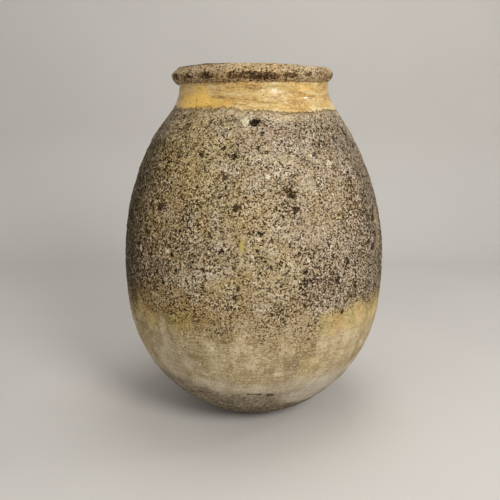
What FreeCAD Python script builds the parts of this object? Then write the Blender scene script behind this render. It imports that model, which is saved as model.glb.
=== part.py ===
"""Tall oil or olive jar of terracotta, raised by hand in lifts on a flat clay disc.

The outline is a meridian of four tangent arcs, turned about Z: a bowl that rises from the
disc, a flatter band up to the widest line, a long shoulder, and a hollow neck. A rolled lip
crowns the neck. Each lift is a ring of clay between two of these heights, cut square to the
wall, and a thin ring of slip lutes it to the lift below. Glaze coats the inside and the neck.
Millimetres, +Z up, origin on the axis at the underside of the disc.
"""

import FreeCAD
import Part
import Sketcher

import os
from typing import NamedTuple

doc = FreeCAD.newDocument("olive_jar")
FULL_TURN = 360
CUBIC_MM_PER_LITRE = 1e6

# Driving dimensions, each a plain number in a cell of the sheet
SIZES = {
    "total_height": 850,
    "base_radius": 100,
    "base_thickness": 32,
    "foot_round": 12,
    "belly_radius": 320,
    "belly_height": 378,
    "belly_band": 80,
    "belly_curve": 1200,
    "throat_radius": 177,
    "neck_curve": 90,
    "lip_height": 44,
    "lip_overhang": 13.5,
    "wall_thickness": 25,
    "glaze_thickness": 1.2,
    "slip_thickness": 1,
}

# Centres, radii and heights of the meridian, worked out from the driving dimensions:
# each arc is tangent to the next, and the belly and throat lie on vertical tangents
OUTLINE = {
    "lip_base": "sizes.total_height - sizes.lip_height",
    "lip_middle": "sizes.total_height - sizes.lip_height / 2",
    "lip_radius": "sizes.throat_radius + sizes.lip_overhang",
    "lip_under_curve": "(sizes.lip_overhang^2 + (sizes.lip_height / 2)^2) / (2 * sizes.lip_overhang)",
    "crest_radius": "lip_radius - sizes.lip_height / 2",
    "mouth_radius": "sizes.throat_radius - sizes.wall_thickness",
    "mouth_round": "crest_radius - mouth_radius",
    "mouth_top": "sizes.total_height - mouth_round",
    "belly_centre_r": "sizes.belly_radius - sizes.belly_curve",
    "belly_centre_z": "sizes.belly_height",
    "belly_arc": "sizes.belly_curve",
    "bowl_top": "sizes.belly_height - sizes.belly_band",
    "bowl_top_r": "belly_centre_r + sqrt(belly_arc^2 - sizes.belly_band^2)",
    "bowl_lean_r": "(bowl_top_r - belly_centre_r) / belly_arc",
    "bowl_lean_z": "-sizes.belly_band / belly_arc",
    "bowl_flare": "bowl_top_r - sizes.base_radius",
    "bowl_arc": "(bowl_flare^2 + bowl_top^2) / (2 * (bowl_flare * bowl_lean_r + bowl_top * bowl_lean_z))",
    "bowl_centre_r": "bowl_top_r - bowl_arc * bowl_lean_r",
    "bowl_centre_z": "bowl_top - bowl_arc * bowl_lean_z",
    "neck_arc": "sizes.neck_curve",
    "neck_centre_r": "sizes.throat_radius + neck_arc",
    "neck_centre_z": "lip_base",
    "neck_inset": "neck_centre_r - sizes.belly_radius",
    "shoulder_rise": "lip_base - sizes.belly_height",
    "shoulder_arc": "(neck_inset^2 + shoulder_rise^2 - neck_arc^2)"
                    " / (2 * (sizes.belly_radius - sizes.throat_radius))",
    "shoulder_centre_r": "sizes.belly_radius - shoulder_arc",
    "shoulder_centre_z": "sizes.belly_height",
    "shoulder_top": "sizes.belly_height + shoulder_rise * shoulder_arc / (shoulder_arc + neck_arc)",
    "disc_joint": "sizes.base_thickness",
    "bowl_lift": "(bowl_top - disc_joint) / 2",
    "foot_joint": "disc_joint + bowl_lift",
    "shoulder_lift": "(shoulder_top - sizes.belly_height) / 3",
    "upper_belly_joint": "sizes.belly_height + shoulder_lift",
    "lower_shoulder_joint": "upper_belly_joint + shoulder_lift",
}

# Depths below the outer face of the wall
FACE = "0"
BACK = "sizes.wall_thickness"
GLAZED_BACK = "(sizes.wall_thickness + sizes.glaze_thickness)"
GLAZED_FACE = "(-sizes.glaze_thickness)"
SLIP = "sizes.slip_thickness"


def fill_sheet(name, values, prefix=""):
    """Makes a sheet whose rows are an alias and its value, and returns it."""
    sheet = doc.addObject("Spreadsheet::Sheet", name)
    for row, (alias, value) in enumerate(values.items(), start=1):
        sheet.set(f"A{row}", alias)
        sheet.set(f"B{row}", f"{prefix}{value}")
        sheet.setAlias(f"B{row}", alias)
    doc.recompute()
    return sheet


sizes = fill_sheet("sizes", SIZES)
outline = fill_sheet("outline", OUTLINE, prefix="=")


class Corner(NamedTuple):
    """A corner of a section: its radius and height, as expressions on the sheets."""

    r: str
    z: str


class Curve(NamedTuple):
    """One arc of the meridian. Swell is 1 where the wall bulges and -1 where it is hollow."""

    name: str
    swell: int

    def radius(self, depth):
        """The arc's radius at a depth in the wall."""
        return f"(outline.{self.name}_arc - {self.swell} * {depth})"

    def square_to(self, height, depth):
        """The corner at a depth in the wall, square to the outer face at a height."""
        centre_z = f"outline.{self.name}_centre_z"
        arc = f"outline.{self.name}_arc"
        share = f"{self.radius(depth)} / {arc}"
        reach = f"sqrt({arc}^2 - ({height} - {centre_z})^2)"
        return Corner(
            f"outline.{self.name}_centre_r + {self.swell} * {share} * {reach}",
            f"{centre_z} + {share} * ({height} - {centre_z})",
        )

    def level_with(self, height, depth):
        """The corner at a depth in the wall, at that height itself."""
        reach = f"sqrt({self.radius(depth)}^2 - ({height} - outline.{self.name}_centre_z)^2)"
        return Corner(f"outline.{self.name}_centre_r + {self.swell} * {reach}", height)


BOWL = Curve("bowl", 1)
BELLY = Curve("belly", 1)
SHOULDER = Curve("shoulder", 1)
NECK = Curve("neck", -1)


def value(expression):
    """The number that an expression on the sheets gives."""
    return float(sizes.evalExpression(expression))


class Section:
    """A closed half section in a body's XZ plane, its corners and radii bound to the sheets."""

    def __init__(self, body, start):
        plane = next(p for p in body.Origin.OriginFeatures if p.Role == "XZ_Plane")
        self.sketch = body.newObject("Sketcher::SketchObject", f"{body.Name}_section")
        self.sketch.AttachmentSupport = (plane, [""])
        self.sketch.MapMode = "FlatFace"
        self.corners = [start]
        self.edges = []

    def line(self, corner):
        """A straight edge to the corner."""
        self.edges.append(None)
        self.corners.append(corner)
        return self

    def arc(self, corner, radius, centre_left):
        """An arc to the corner. Its centre lies left of the way there, or else right."""
        self.edges.append((radius, centre_left))
        self.corners.append(corner)
        return self

    def close(self):
        """Draws the edges back to the start, and binds every corner and radius."""
        places = [FreeCAD.Vector(value(c.r), value(c.z), 0) for c in self.corners]
        count = len(self.corners)
        self.edges.append(None)
        for index, edge in enumerate(self.edges):
            start, end = places[index], places[(index + 1) % count]
            self.draw(start, end, edge)
        ends = [self.bind_edge(index, edge) for index, edge in enumerate(self.edges)]
        for index, corner in enumerate(self.corners):
            before, after = ends[index - 1][1], ends[index][0]
            self.sketch.addConstraint(Sketcher.Constraint("Coincident", *before, *after))
            self.bind("DistanceX", (-1, 1, *after), places[index].x, corner.r)
            self.bind("DistanceY", (-1, 1, *after), places[index].y, corner.z)
        return self.sketch

    def draw(self, start, end, edge):
        """Adds one edge between two places, as a line or as an arc that turns less than half round."""
        if edge is None:
            self.sketch.addGeometry(Part.LineSegment(start, end))
            return
        expression, centre_left = edge
        radius = value(expression)
        chord = end - start
        across = FreeCAD.Vector(-chord.y, chord.x, 0).normalize()
        inset = (radius**2 - (chord.Length / 2) ** 2) ** 0.5
        side = 1 if centre_left else -1
        centre = (start + end) / 2 + across * inset * side
        middle = centre - across * radius * side
        self.sketch.addGeometry(Part.Arc(start, middle, end))

    def bind_edge(self, index, edge):
        """Binds an arc's radius, and returns which ends of the geometry are its start and end."""
        if edge is None:
            return (index, 1), (index, 2)
        expression, centre_left = edge
        self.bind("Radius", (index,), value(expression), expression)
        return ((index, 1), (index, 2)) if centre_left else ((index, 2), (index, 1))

    def bind(self, kind, places, number, expression):
        """Adds a constraint of a kind at those places, driven by an expression on the sheets."""
        constraint = self.sketch.addConstraint(Sketcher.Constraint(kind, *places, number))
        self.sketch.setExpression(f"Constraints[{constraint}]", expression)


def turn(body, sketch):
    """Turns a half section about Z into the body's solid."""
    turned = body.newObject("PartDesign::Revolution", f"{body.Name}_turned")
    turned.Profile = sketch
    turned.ReferenceAxis = (sketch, ["V_Axis"])
    turned.Angle = FULL_TURN
    doc.recompute()
    return body


def new_body(label):
    """An empty body under the label that its piece is known by."""
    body = doc.addObject("PartDesign::Body", label)
    body.Label = label
    return body


def ring(label, curve, low, high, outer=FACE, inner=BACK):
    """A ring of the wall between two heights of the outer face, with ends square to that face."""
    body = new_body(label)
    section = Section(body, curve.square_to(low, outer))
    bulges = curve.swell == 1
    section.arc(curve.square_to(high, outer), curve.radius(outer), centre_left=bulges)
    section.line(curve.square_to(high, inner))
    section.arc(curve.square_to(low, inner), curve.radius(inner), centre_left=not bulges)
    return turn(body, section.close())


def base_disc():
    """The rolled-out disc that the jar stands on, its edge turned up to meet the first lift."""
    body = new_body("base_disc")
    top = f"(outline.disc_joint - {SLIP})"
    section = Section(body, Corner("0", "0"))
    section.line(Corner("sizes.base_radius", "0"))
    section.arc(BOWL.square_to(top, FACE), BOWL.radius(FACE), centre_left=True)
    section.line(BOWL.square_to(top, BACK))
    section.arc(BOWL.level_with("sizes.base_thickness", BACK), BOWL.radius(BACK), centre_left=False)
    section.line(Corner("0", "sizes.base_thickness"))
    turn(body, section.close())
    round_foot(body)
    return body


def round_foot(body):
    """Rounds the edge that the jar stands on, which is the lowest one."""
    turned = body.Tip
    heights = [edge.BoundBox.ZMax for edge in turned.Shape.Edges]
    lowest = heights.index(min(heights)) + 1
    fillet = body.newObject("PartDesign::Fillet", f"{body.Name}_foot_round")
    fillet.Base = (turned, [f"Edge{lowest}"])
    fillet.setExpression("Radius", "sizes.foot_round")
    doc.recompute()


def rolled_lip():
    """The thick roll round the mouth, half round outside and eased over into the throat."""
    body = new_body("rolled_lip")
    section = Section(body, Corner("outline.mouth_radius", "outline.lip_base"))
    section.line(Corner("sizes.throat_radius", "outline.lip_base"))
    section.arc(Corner("outline.lip_radius", "outline.lip_middle"), "outline.lip_under_curve", centre_left=True)
    section.arc(Corner("outline.crest_radius", "sizes.total_height"), "sizes.lip_height / 2", centre_left=True)
    section.arc(Corner("outline.mouth_radius", "outline.mouth_top"), "outline.mouth_round", centre_left=True)
    return turn(body, section.close())


def inner_glaze():
    """The coat of glaze over the floor, the inside of every lift and the throat."""
    body = new_body("inner_glaze")
    floor = "sizes.base_thickness"
    glazed_floor = "(sizes.base_thickness + sizes.glaze_thickness)"
    glazed_mouth = "(outline.mouth_radius - sizes.glaze_thickness)"
    bowl_top = "outline.bowl_top"
    belly = "sizes.belly_height"
    shoulder_top = "outline.shoulder_top"
    section = Section(body, Corner("0", floor))
    section.line(BOWL.level_with(floor, BACK))
    section.arc(BOWL.square_to(bowl_top, BACK), BOWL.radius(BACK), centre_left=True)
    section.arc(BELLY.square_to(belly, BACK), BELLY.radius(BACK), centre_left=True)
    section.arc(SHOULDER.square_to(shoulder_top, BACK), SHOULDER.radius(BACK), centre_left=True)
    section.arc(NECK.square_to("outline.lip_base", BACK), NECK.radius(BACK), centre_left=False)
    section.line(Corner("outline.mouth_radius", "outline.mouth_top"))
    section.line(Corner(glazed_mouth, "outline.mouth_top"))
    section.line(NECK.square_to("outline.lip_base", GLAZED_BACK))
    section.arc(NECK.square_to(shoulder_top, GLAZED_BACK), NECK.radius(GLAZED_BACK), centre_left=True)
    section.arc(SHOULDER.square_to(belly, GLAZED_BACK), SHOULDER.radius(GLAZED_BACK), centre_left=False)
    section.arc(BELLY.square_to(bowl_top, GLAZED_BACK), BELLY.radius(GLAZED_BACK), centre_left=False)
    section.arc(BOWL.level_with(glazed_floor, GLAZED_BACK), BOWL.radius(GLAZED_BACK), centre_left=False)
    section.line(Corner("0", glazed_floor))
    return turn(body, section.close())


# The lifts from the disc to the lip: label, arc, foot and top
LIFTS = [
    ("foot_course", BOWL, "outline.disc_joint", "outline.foot_joint"),
    ("bowl_course", BOWL, "outline.foot_joint", "outline.bowl_top"),
    ("belly_course", BELLY, "outline.bowl_top", "sizes.belly_height"),
    ("upper_belly_course", SHOULDER, "sizes.belly_height", "outline.upper_belly_joint"),
    ("lower_shoulder_course", SHOULDER, "outline.upper_belly_joint", "outline.lower_shoulder_joint"),
    ("upper_shoulder_course", SHOULDER, "outline.lower_shoulder_joint", "outline.shoulder_top"),
    ("neck_collar", NECK, "outline.shoulder_top", "outline.lip_base"),
]


def slip_ring(below, curve, joint):
    """The film of slip on top of a lift, which lutes the next lift to it."""
    return ring(f"slip_on_{below}", curve, f"({joint} - {SLIP})", joint)


def raise_jar():
    """Makes every piece from the disc upwards, and returns those that are sub-parts."""
    pieces = [base_disc()]
    slips = [slip_ring("base_disc", BOWL, "outline.disc_joint")]
    for label, curve, low, high in LIFTS:
        pieces.append(ring(label, curve, low, f"({high} - {SLIP})"))
        slips.append(slip_ring(label, curve, high))
    pieces.append(rolled_lip())
    luting = doc.addObject("Part::Compound", "luting_slip")
    luting.Links = slips
    pieces.append(luting)
    pieces.append(ring("neck_glaze", NECK, "outline.shoulder_top", "outline.lip_base", GLAZED_FACE, FACE))
    pieces.append(inner_glaze())
    doc.recompute()
    return pieces


def check(pieces):
    """Stops if any object failed to build or any sub-part's shape is empty or broken."""
    for item in doc.Objects:
        if {"Invalid", "Error"} & set(item.State):
            raise RuntimeError(f"{item.Label} failed: {item.State}")
    for piece in pieces:
        if piece.Shape.isNull() or not piece.Shape.isValid() or not piece.Shape.Solids:
            raise RuntimeError(f"{piece.Label} has no sound solid")


def export(pieces):
    """Writes each sub-part to a file under its label, and prints what it measures."""
    os.makedirs("parts", exist_ok=True)
    for piece in pieces:
        piece.Shape.exportStep(f"parts/{piece.Label}.step")
        box = piece.Shape.optimalBoundingBox()
        litres = piece.Shape.Volume / CUBIC_MM_PER_LITRE
        print(f"{piece.Label}: {len(piece.Shape.Solids)} solids, {litres:.3f} litres,"
              f" z {box.ZMin:.1f} to {box.ZMax:.1f}, radius {box.XMax:.1f}")


pieces = raise_jar()
check(pieces)
export(pieces)
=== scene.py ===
"""A weathered olive jar: the finished look of each piece of clay and glaze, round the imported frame.

Every piece is a half section turned about Z, then worn by the same weather, which is a function of
the place alone, so that one lift runs into the next without a seam. The weather also leaves
its traces on the mesh as attributes, and the finishes read them. Metres, +Z up, front towards -Y.
"""

import logging
import math
from dataclasses import dataclass, field, replace
from enum import Enum
from itertools import product

import bmesh
import bpy
import numpy as np
from mathutils import Matrix, Vector


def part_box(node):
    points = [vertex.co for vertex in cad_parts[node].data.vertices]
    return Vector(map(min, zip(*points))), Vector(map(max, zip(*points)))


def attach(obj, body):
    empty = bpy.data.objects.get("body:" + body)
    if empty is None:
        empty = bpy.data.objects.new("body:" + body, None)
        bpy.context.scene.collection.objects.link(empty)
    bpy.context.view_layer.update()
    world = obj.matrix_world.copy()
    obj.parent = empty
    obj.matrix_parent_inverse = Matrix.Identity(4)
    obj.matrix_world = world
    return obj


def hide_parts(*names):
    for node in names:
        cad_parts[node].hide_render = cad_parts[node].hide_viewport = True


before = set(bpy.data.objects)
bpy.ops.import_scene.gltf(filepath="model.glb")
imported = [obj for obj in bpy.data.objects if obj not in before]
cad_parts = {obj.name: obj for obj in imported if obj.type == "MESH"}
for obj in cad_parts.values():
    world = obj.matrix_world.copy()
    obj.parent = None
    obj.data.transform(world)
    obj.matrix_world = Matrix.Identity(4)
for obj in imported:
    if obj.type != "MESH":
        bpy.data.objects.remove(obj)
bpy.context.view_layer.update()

LOG = logging.getLogger("olive_jar")

# How many equal sectors a turned piece is made of, how near two stations count as one, and how near
# two vertices are merged
SECTORS = 16
TOUCH = 1e-6
MERGE = 1e-5

Pair = tuple[float, float]
Triple = tuple[float, float, float]
Colour = tuple[float, float, float, float]
Array = np.ndarray
Mesh = bpy.types.Mesh
Piece = bpy.types.Object
Material = bpy.types.Material
Node = bpy.types.Node
Socket = bpy.types.NodeSocket
Number = float | Socket
Tint = Colour | Socket
Inputs = dict[str | int, object]


def paint(red: int, green: int, blue: int) -> Colour:
    """Turns a colour as a painter's chart gives it, 0 to 255, into linear light.

    Args:
        red: The red part.
        green: The green part.
        blue: The blue part.

    Returns:
        The linear colour, opaque.
    """
    shares = [part / 255 for part in (red, green, blue)]
    linear = [((s + 0.055) / 1.055) ** 2.4 if s > 0.04045 else s / 12.92 for s in shares]
    return (*linear, 1.0)


class Slot(Enum):
    """The record's material slots."""

    CLAY = "weathered_clay"
    LIP = "lip_clay"
    GLAZE = "honey_glaze"


class Trace(Enum):
    """What the weather leaves on a face, and the shade painted on it, each an attribute of the mesh from 0
    to 1.
    """

    CRUST = "crust"
    PIT = "pit"
    OCHRE = "ochre"
    BLOOM = "bloom"
    # Body: painted shade down the sides, and runs. Lip: lichen. Neck: chips, and painted shade under the
    # lip. Inside: dirt.
    FILM = "film"
    # Sooty patches, and painted shade on the sides of the body.
    SOOT = "soot"
    # The foot's dark: grimy, and painted shade on the underside.
    GRIME = "grime"
    LIME = "lime"
    OLIVE = "olive"
    MAUVE = "mauve"
    FRINGE = "fringe"
    SCAR = "scar"
    MOSS = "moss"
    GLOSS = "gloss"
    UMBER = "umber"


# Outline


@dataclass(frozen=True)
class Arc:
    """One arc of the meridian. Swell is 1 where the wall bulges and -1 where it is hollow."""

    centre_r: float
    centre_z: float
    radius: float
    swell: int

    def angle(self, z: float) -> float:
        """The arc's angle above its centre at a height of its face."""
        return math.asin((z - self.centre_z) / self.radius)

    def place(self, angle: float, depth: float) -> Pair:
        """The radius and height at an angle, at a depth behind the face."""
        reach = self.radius - self.swell * depth
        return self.centre_r + self.swell * reach * math.cos(angle), self.centre_z + reach * math.sin(angle)

    def look(self, angle: float) -> Pair:
        """The way out of the face at an angle, as its share along r and along z."""
        return math.cos(angle), self.swell * math.sin(angle)


@dataclass(frozen=True)
class Meridian:
    """The jar's outline: four tangent arcs from the foot to the lip.

    Attributes:
        height: The jar's height.
        belly_radius: The radius of the widest line.
        belly_height: The height of the widest line.
        bowl_top: The height at which the bowl turns into the flatter band.
        lip_base: The height of the lip's underside.
        lip_radius: The lip's outer radius.
        base_radius: The radius of the base, before its edge is rounded.
        base_thickness: The height of the disc.
        foot_round: The rounding of the disc's lower edge.
        belly_curve: The radius of the flatter band's curve.
        throat_radius: The neck's outer radius where it is narrowest.
        neck_curve: The radius of the neck's hollow.
        shoulder_lifts: How many equal lifts the shoulder is raised in.
        wall: The thickness of the wall.
        glaze: The thickness of the glaze.
    """

    height: float
    belly_radius: float
    belly_height: float
    bowl_top: float
    lip_base: float
    lip_radius: float
    base_radius: float = 0.100
    base_thickness: float = 0.032
    foot_round: float = 0.012
    belly_curve: float = 1.200
    throat_radius: float = 0.177
    neck_curve: float = 0.090
    shoulder_lifts: int = 3
    wall: float = 0.025
    glaze: float = 0.0012

    @classmethod
    def from_frame(cls) -> "Meridian":
        """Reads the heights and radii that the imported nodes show.

        Returns:
            The outline.
        """
        lip_low, lip_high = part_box("rolled_lip")
        widest_low, widest_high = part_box("upper_belly_course")
        return cls(
            height=lip_high.z,
            belly_radius=widest_high.x,
            belly_height=widest_low.z,
            bowl_top=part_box("belly_course")[0].z,
            lip_base=lip_low.z,
            lip_radius=lip_high.x,
        )

    @property
    def belly(self) -> Arc:
        """The flat curve of the band under the widest line."""
        return Arc(self.belly_radius - self.belly_curve, self.belly_height, self.belly_curve, 1)

    @property
    def bowl(self) -> Arc:
        """The bowl, from the foot up to the band.

        Returns:
            The arc through the foot that meets the band's curve without a kink.
        """
        lean = self.belly.angle(self.bowl_top)
        top_r, _ = self.belly.place(lean, 0)
        lean_r, lean_z = self.belly.look(lean)
        flare = top_r - self.base_radius
        radius = (flare**2 + self.bowl_top**2) / (2 * (flare * lean_r + self.bowl_top * lean_z))
        return Arc(top_r - radius * lean_r, self.bowl_top - radius * lean_z, radius, 1)

    @property
    def neck(self) -> Arc:
        """The hollow of the neck, upright where it meets the lip."""
        return Arc(self.throat_radius + self.neck_curve, self.lip_base, self.neck_curve, -1)

    @property
    def shoulder(self) -> Arc:
        """The long curve from the widest line to the neck.

        Returns:
            The arc, upright at the widest line, that meets the neck's hollow without a kink.
        """
        inset = self.neck.centre_r - self.belly_radius
        rise = self.lip_base - self.belly_height
        narrowing = self.belly_radius - self.throat_radius
        radius = (inset**2 + rise**2 - self.neck_curve**2) / (2 * narrowing)
        return Arc(self.belly_radius - radius, self.belly_height, radius, 1)

    @property
    def shoulder_top(self) -> float:
        """The height at which the shoulder turns into the neck."""
        rise = self.lip_base - self.belly_height
        return self.belly_height + rise * self.shoulder.radius / (self.shoulder.radius + self.neck_curve)

    @property
    def foot_joint(self) -> float:
        """The joint half way up the bowl."""
        return (self.base_thickness + self.bowl_top) / 2

    @property
    def bore(self) -> float:
        """The inner radius of the throat."""
        return self.throat_radius - self.wall

    @property
    def lip_half(self) -> float:
        """Half the lip's height, the radius of its roll."""
        return (self.height - self.lip_base) / 2

    @property
    def lip_crest(self) -> float:
        """The radius at which the lip is highest."""
        return self.lip_radius - self.lip_half

    @property
    def mouth_ease(self) -> float:
        """The radius of the curve by which the lip runs over into the throat."""
        return self.lip_crest - self.bore

    def shoulder_joint(self, lifts: int) -> float:
        """The height of the shoulder after some of its equal lifts."""
        return self.belly_height + lifts * (self.shoulder_top - self.belly_height) / self.shoulder_lifts


# Turned pieces


@dataclass(frozen=True)
class Station:
    """A point of a half section.

    Attributes:
        r: Its distance from the axis.
        z: Its height.
        look: The way out of its face, along r and along z.
        wear: How far the weather reaches it, from 0 to 1.
        corner: Whether the section turns sharply here.
    """

    r: float
    z: float
    look: Pair
    wear: float
    corner: bool = False


@dataclass
class Section:
    """A half section, drawn from station to station."""

    stations: list[Station] = field(default_factory=list)

    def arc(self, arc: Arc, start: float, end: float, depth: float, step: float, wear: float) -> None:
        """Follows an arc between two heights of its face.

        Args:
            arc: The arc of the meridian.
            start: The height of the face where it starts.
            end: The height of the face where it ends.
            depth: How far behind the face it runs.
            step: The greatest distance between stations.
            wear: How far the weather reaches it.
        """
        first, last = arc.angle(start), arc.angle(end)
        count = max(2, math.ceil(arc.radius * abs(last - first) / step))
        for index in range(count + 1):
            angle = first + (last - first) * index / count
            self.add(arc.place(angle, depth), arc.look(angle), wear, index in (0, count))

    def line(self, start: Pair, end: Pair, step: float, wear: float) -> None:
        """Follows a straight line, its face on the right of the way along it.

        Args:
            start: The radius and height where it starts.
            end: The radius and height where it ends.
            step: The greatest distance between stations.
            wear: How far the weather reaches it.
        """
        run = Vector(end) - Vector(start)
        count = max(1, math.ceil(run.length / step))
        look = (run.y / run.length, -run.x / run.length)
        for index in range(count + 1):
            place = Vector(start) + run * index / count
            self.add((place.x, place.y), look, wear, index in (0, count))

    def add(self, place: Pair, look: Pair, wear: float, corner: bool = False) -> None:
        """Adds a station, unless the last one already stands there.

        Args:
            place: Its radius and height.
            look: The way out of its face, along r and along z.
            wear: How far the weather reaches it.
            corner: Whether the section turns sharply here.
        """
        if self.stations:
            last = self.stations[-1]
            if math.dist(place, (last.r, last.z)) < TOUCH:
                return
        self.stations.append(Station(*place, look, wear, corner))


def turn(name: str, section: Section, step: float) -> Piece:
    """Turns a half section about Z into a closed mesh with its stations' looks kept on it.

    Args:
        name: The piece's name.
        section: The half section. It ends on the axis at both ends, or closes on itself.
        step: The greatest width of a face round the widest ring.

    Returns:
        The turned piece, smooth, with its section's corners sharp.
    """
    bm = bmesh.new()
    layers = {key: bm.verts.layers.float.new(key) for key in ("look_r", "look_z", "wear", "corner")}
    ring = []
    for station in section.stations:
        vert = bm.verts.new((station.r, 0, station.z))
        vert[layers["look_r"]], vert[layers["look_z"]] = station.look
        vert[layers["wear"]] = station.wear
        vert[layers["corner"]] = station.corner
        ring.append(vert)
    edges = [bm.edges.new(pair) for pair in zip(ring, ring[1:])]
    radii = [station.r for station in section.stations]
    if min(radii) >= TOUCH:
        edges.append(bm.edges.new((ring[-1], ring[0])))
    sector = 2 * math.pi / SECTORS
    steps = math.ceil(2 * math.pi * max(radii) / step / SECTORS)
    axis = {"cent": (0, 0, 0), "axis": (0, 0, 1), "dvec": (0, 0, 0), "use_merge": False}
    bmesh.ops.spin(bm, geom=ring + edges, angle=sector, steps=steps, **axis)
    whole = bm.verts[:] + bm.edges[:] + bm.faces[:]
    others = {"angle": 2 * math.pi - sector, "steps": SECTORS - 1, "use_duplicate": True}
    bmesh.ops.spin(bm, geom=whole, **others, **axis)
    bmesh.ops.remove_doubles(bm, verts=bm.verts, dist=MERGE)
    bmesh.ops.recalc_face_normals(bm, faces=bm.faces)
    corner = layers["corner"]
    for edge in bm.edges:
        edge.smooth = not all(vert[corner] > 0.5 for vert in edge.verts)
    for face in bm.faces:
        face.smooth = True
    mesh = bpy.data.meshes.new(name)
    bm.to_mesh(mesh)
    bm.free()
    piece = bpy.data.objects.new(name, mesh)
    bpy.context.scene.collection.objects.link(piece)
    return piece


def read(mesh: Mesh, name: str) -> Array:
    """Reads one of a mesh's attributes.

    Args:
        mesh: The mesh.
        name: The attribute's name.

    Returns:
        A number for each vertex.
    """
    values = np.zeros(len(mesh.vertices), np.float32)
    mesh.attributes[name].data.foreach_get("value", values)
    return values


def keep(mesh: Mesh, name: str, values: Array) -> None:
    """Keeps an array on a mesh as an attribute, a number to each vertex."""
    mesh.attributes.new(name, "FLOAT", "POINT").data.foreach_set("value", values.astype(np.float32))


def places(mesh: Mesh) -> Array:
    """Reads where a mesh's vertices are.

    Args:
        mesh: The mesh.

    Returns:
        Their places, a row to each.
    """
    values = np.zeros(len(mesh.vertices) * 3, np.float32)
    mesh.vertices.foreach_get("co", values)
    return values.reshape(-1, 3).astype(float)


def put(mesh: Mesh, points: Array) -> None:
    """Moves a mesh's vertices to new places."""
    mesh.vertices.foreach_set("co", points.astype(np.float32).ravel())
    mesh.update()


def looks(mesh: Mesh, points: Array) -> Array:
    """Works out the way out of the face at each vertex, from what its station kept.

    Args:
        mesh: The mesh.
        points: The places of its vertices, a row to each.

    Returns:
        The ways, a row to each vertex.
    """
    safe = np.maximum(np.hypot(points[:, 0], points[:, 1]), 1e-9)
    look_r, look_z = read(mesh, "look_r"), read(mesh, "look_z")
    return np.stack([points[:, 0] / safe * look_r, points[:, 1] / safe * look_r, look_z], axis=1)


# Weather


def rise(values: Array, low: float, high: float) -> Array:
    """A smooth step.

    Args:
        values: The values to test.
        low: Where the step starts, at 0. It may be the greater.
        high: Where it ends, at 1.

    Returns:
        The step's height at each value.
    """
    share = np.clip((values - low) / (high - low), 0, 1)
    return share * share * (3 - 2 * share)


def band(values: Array, start: float, full: float, wane: float, end: float) -> Array:
    """A smooth band: 0 up to start, 1 from full to wane, and 0 again from end."""
    return rise(values, start, full) * rise(values, end, wane)


def bell(offset: Array, spread: float) -> Array:
    """A smooth hump: 1 at no offset, and fading out over about twice the spread."""
    return np.exp(-((offset / spread) ** 2))


def turned(azimuth: Array, middle: float) -> Array:
    """The degrees from a middle to each azimuth, the shorter way round."""
    return (azimuth - middle + 180) % 360 - 180


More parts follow.
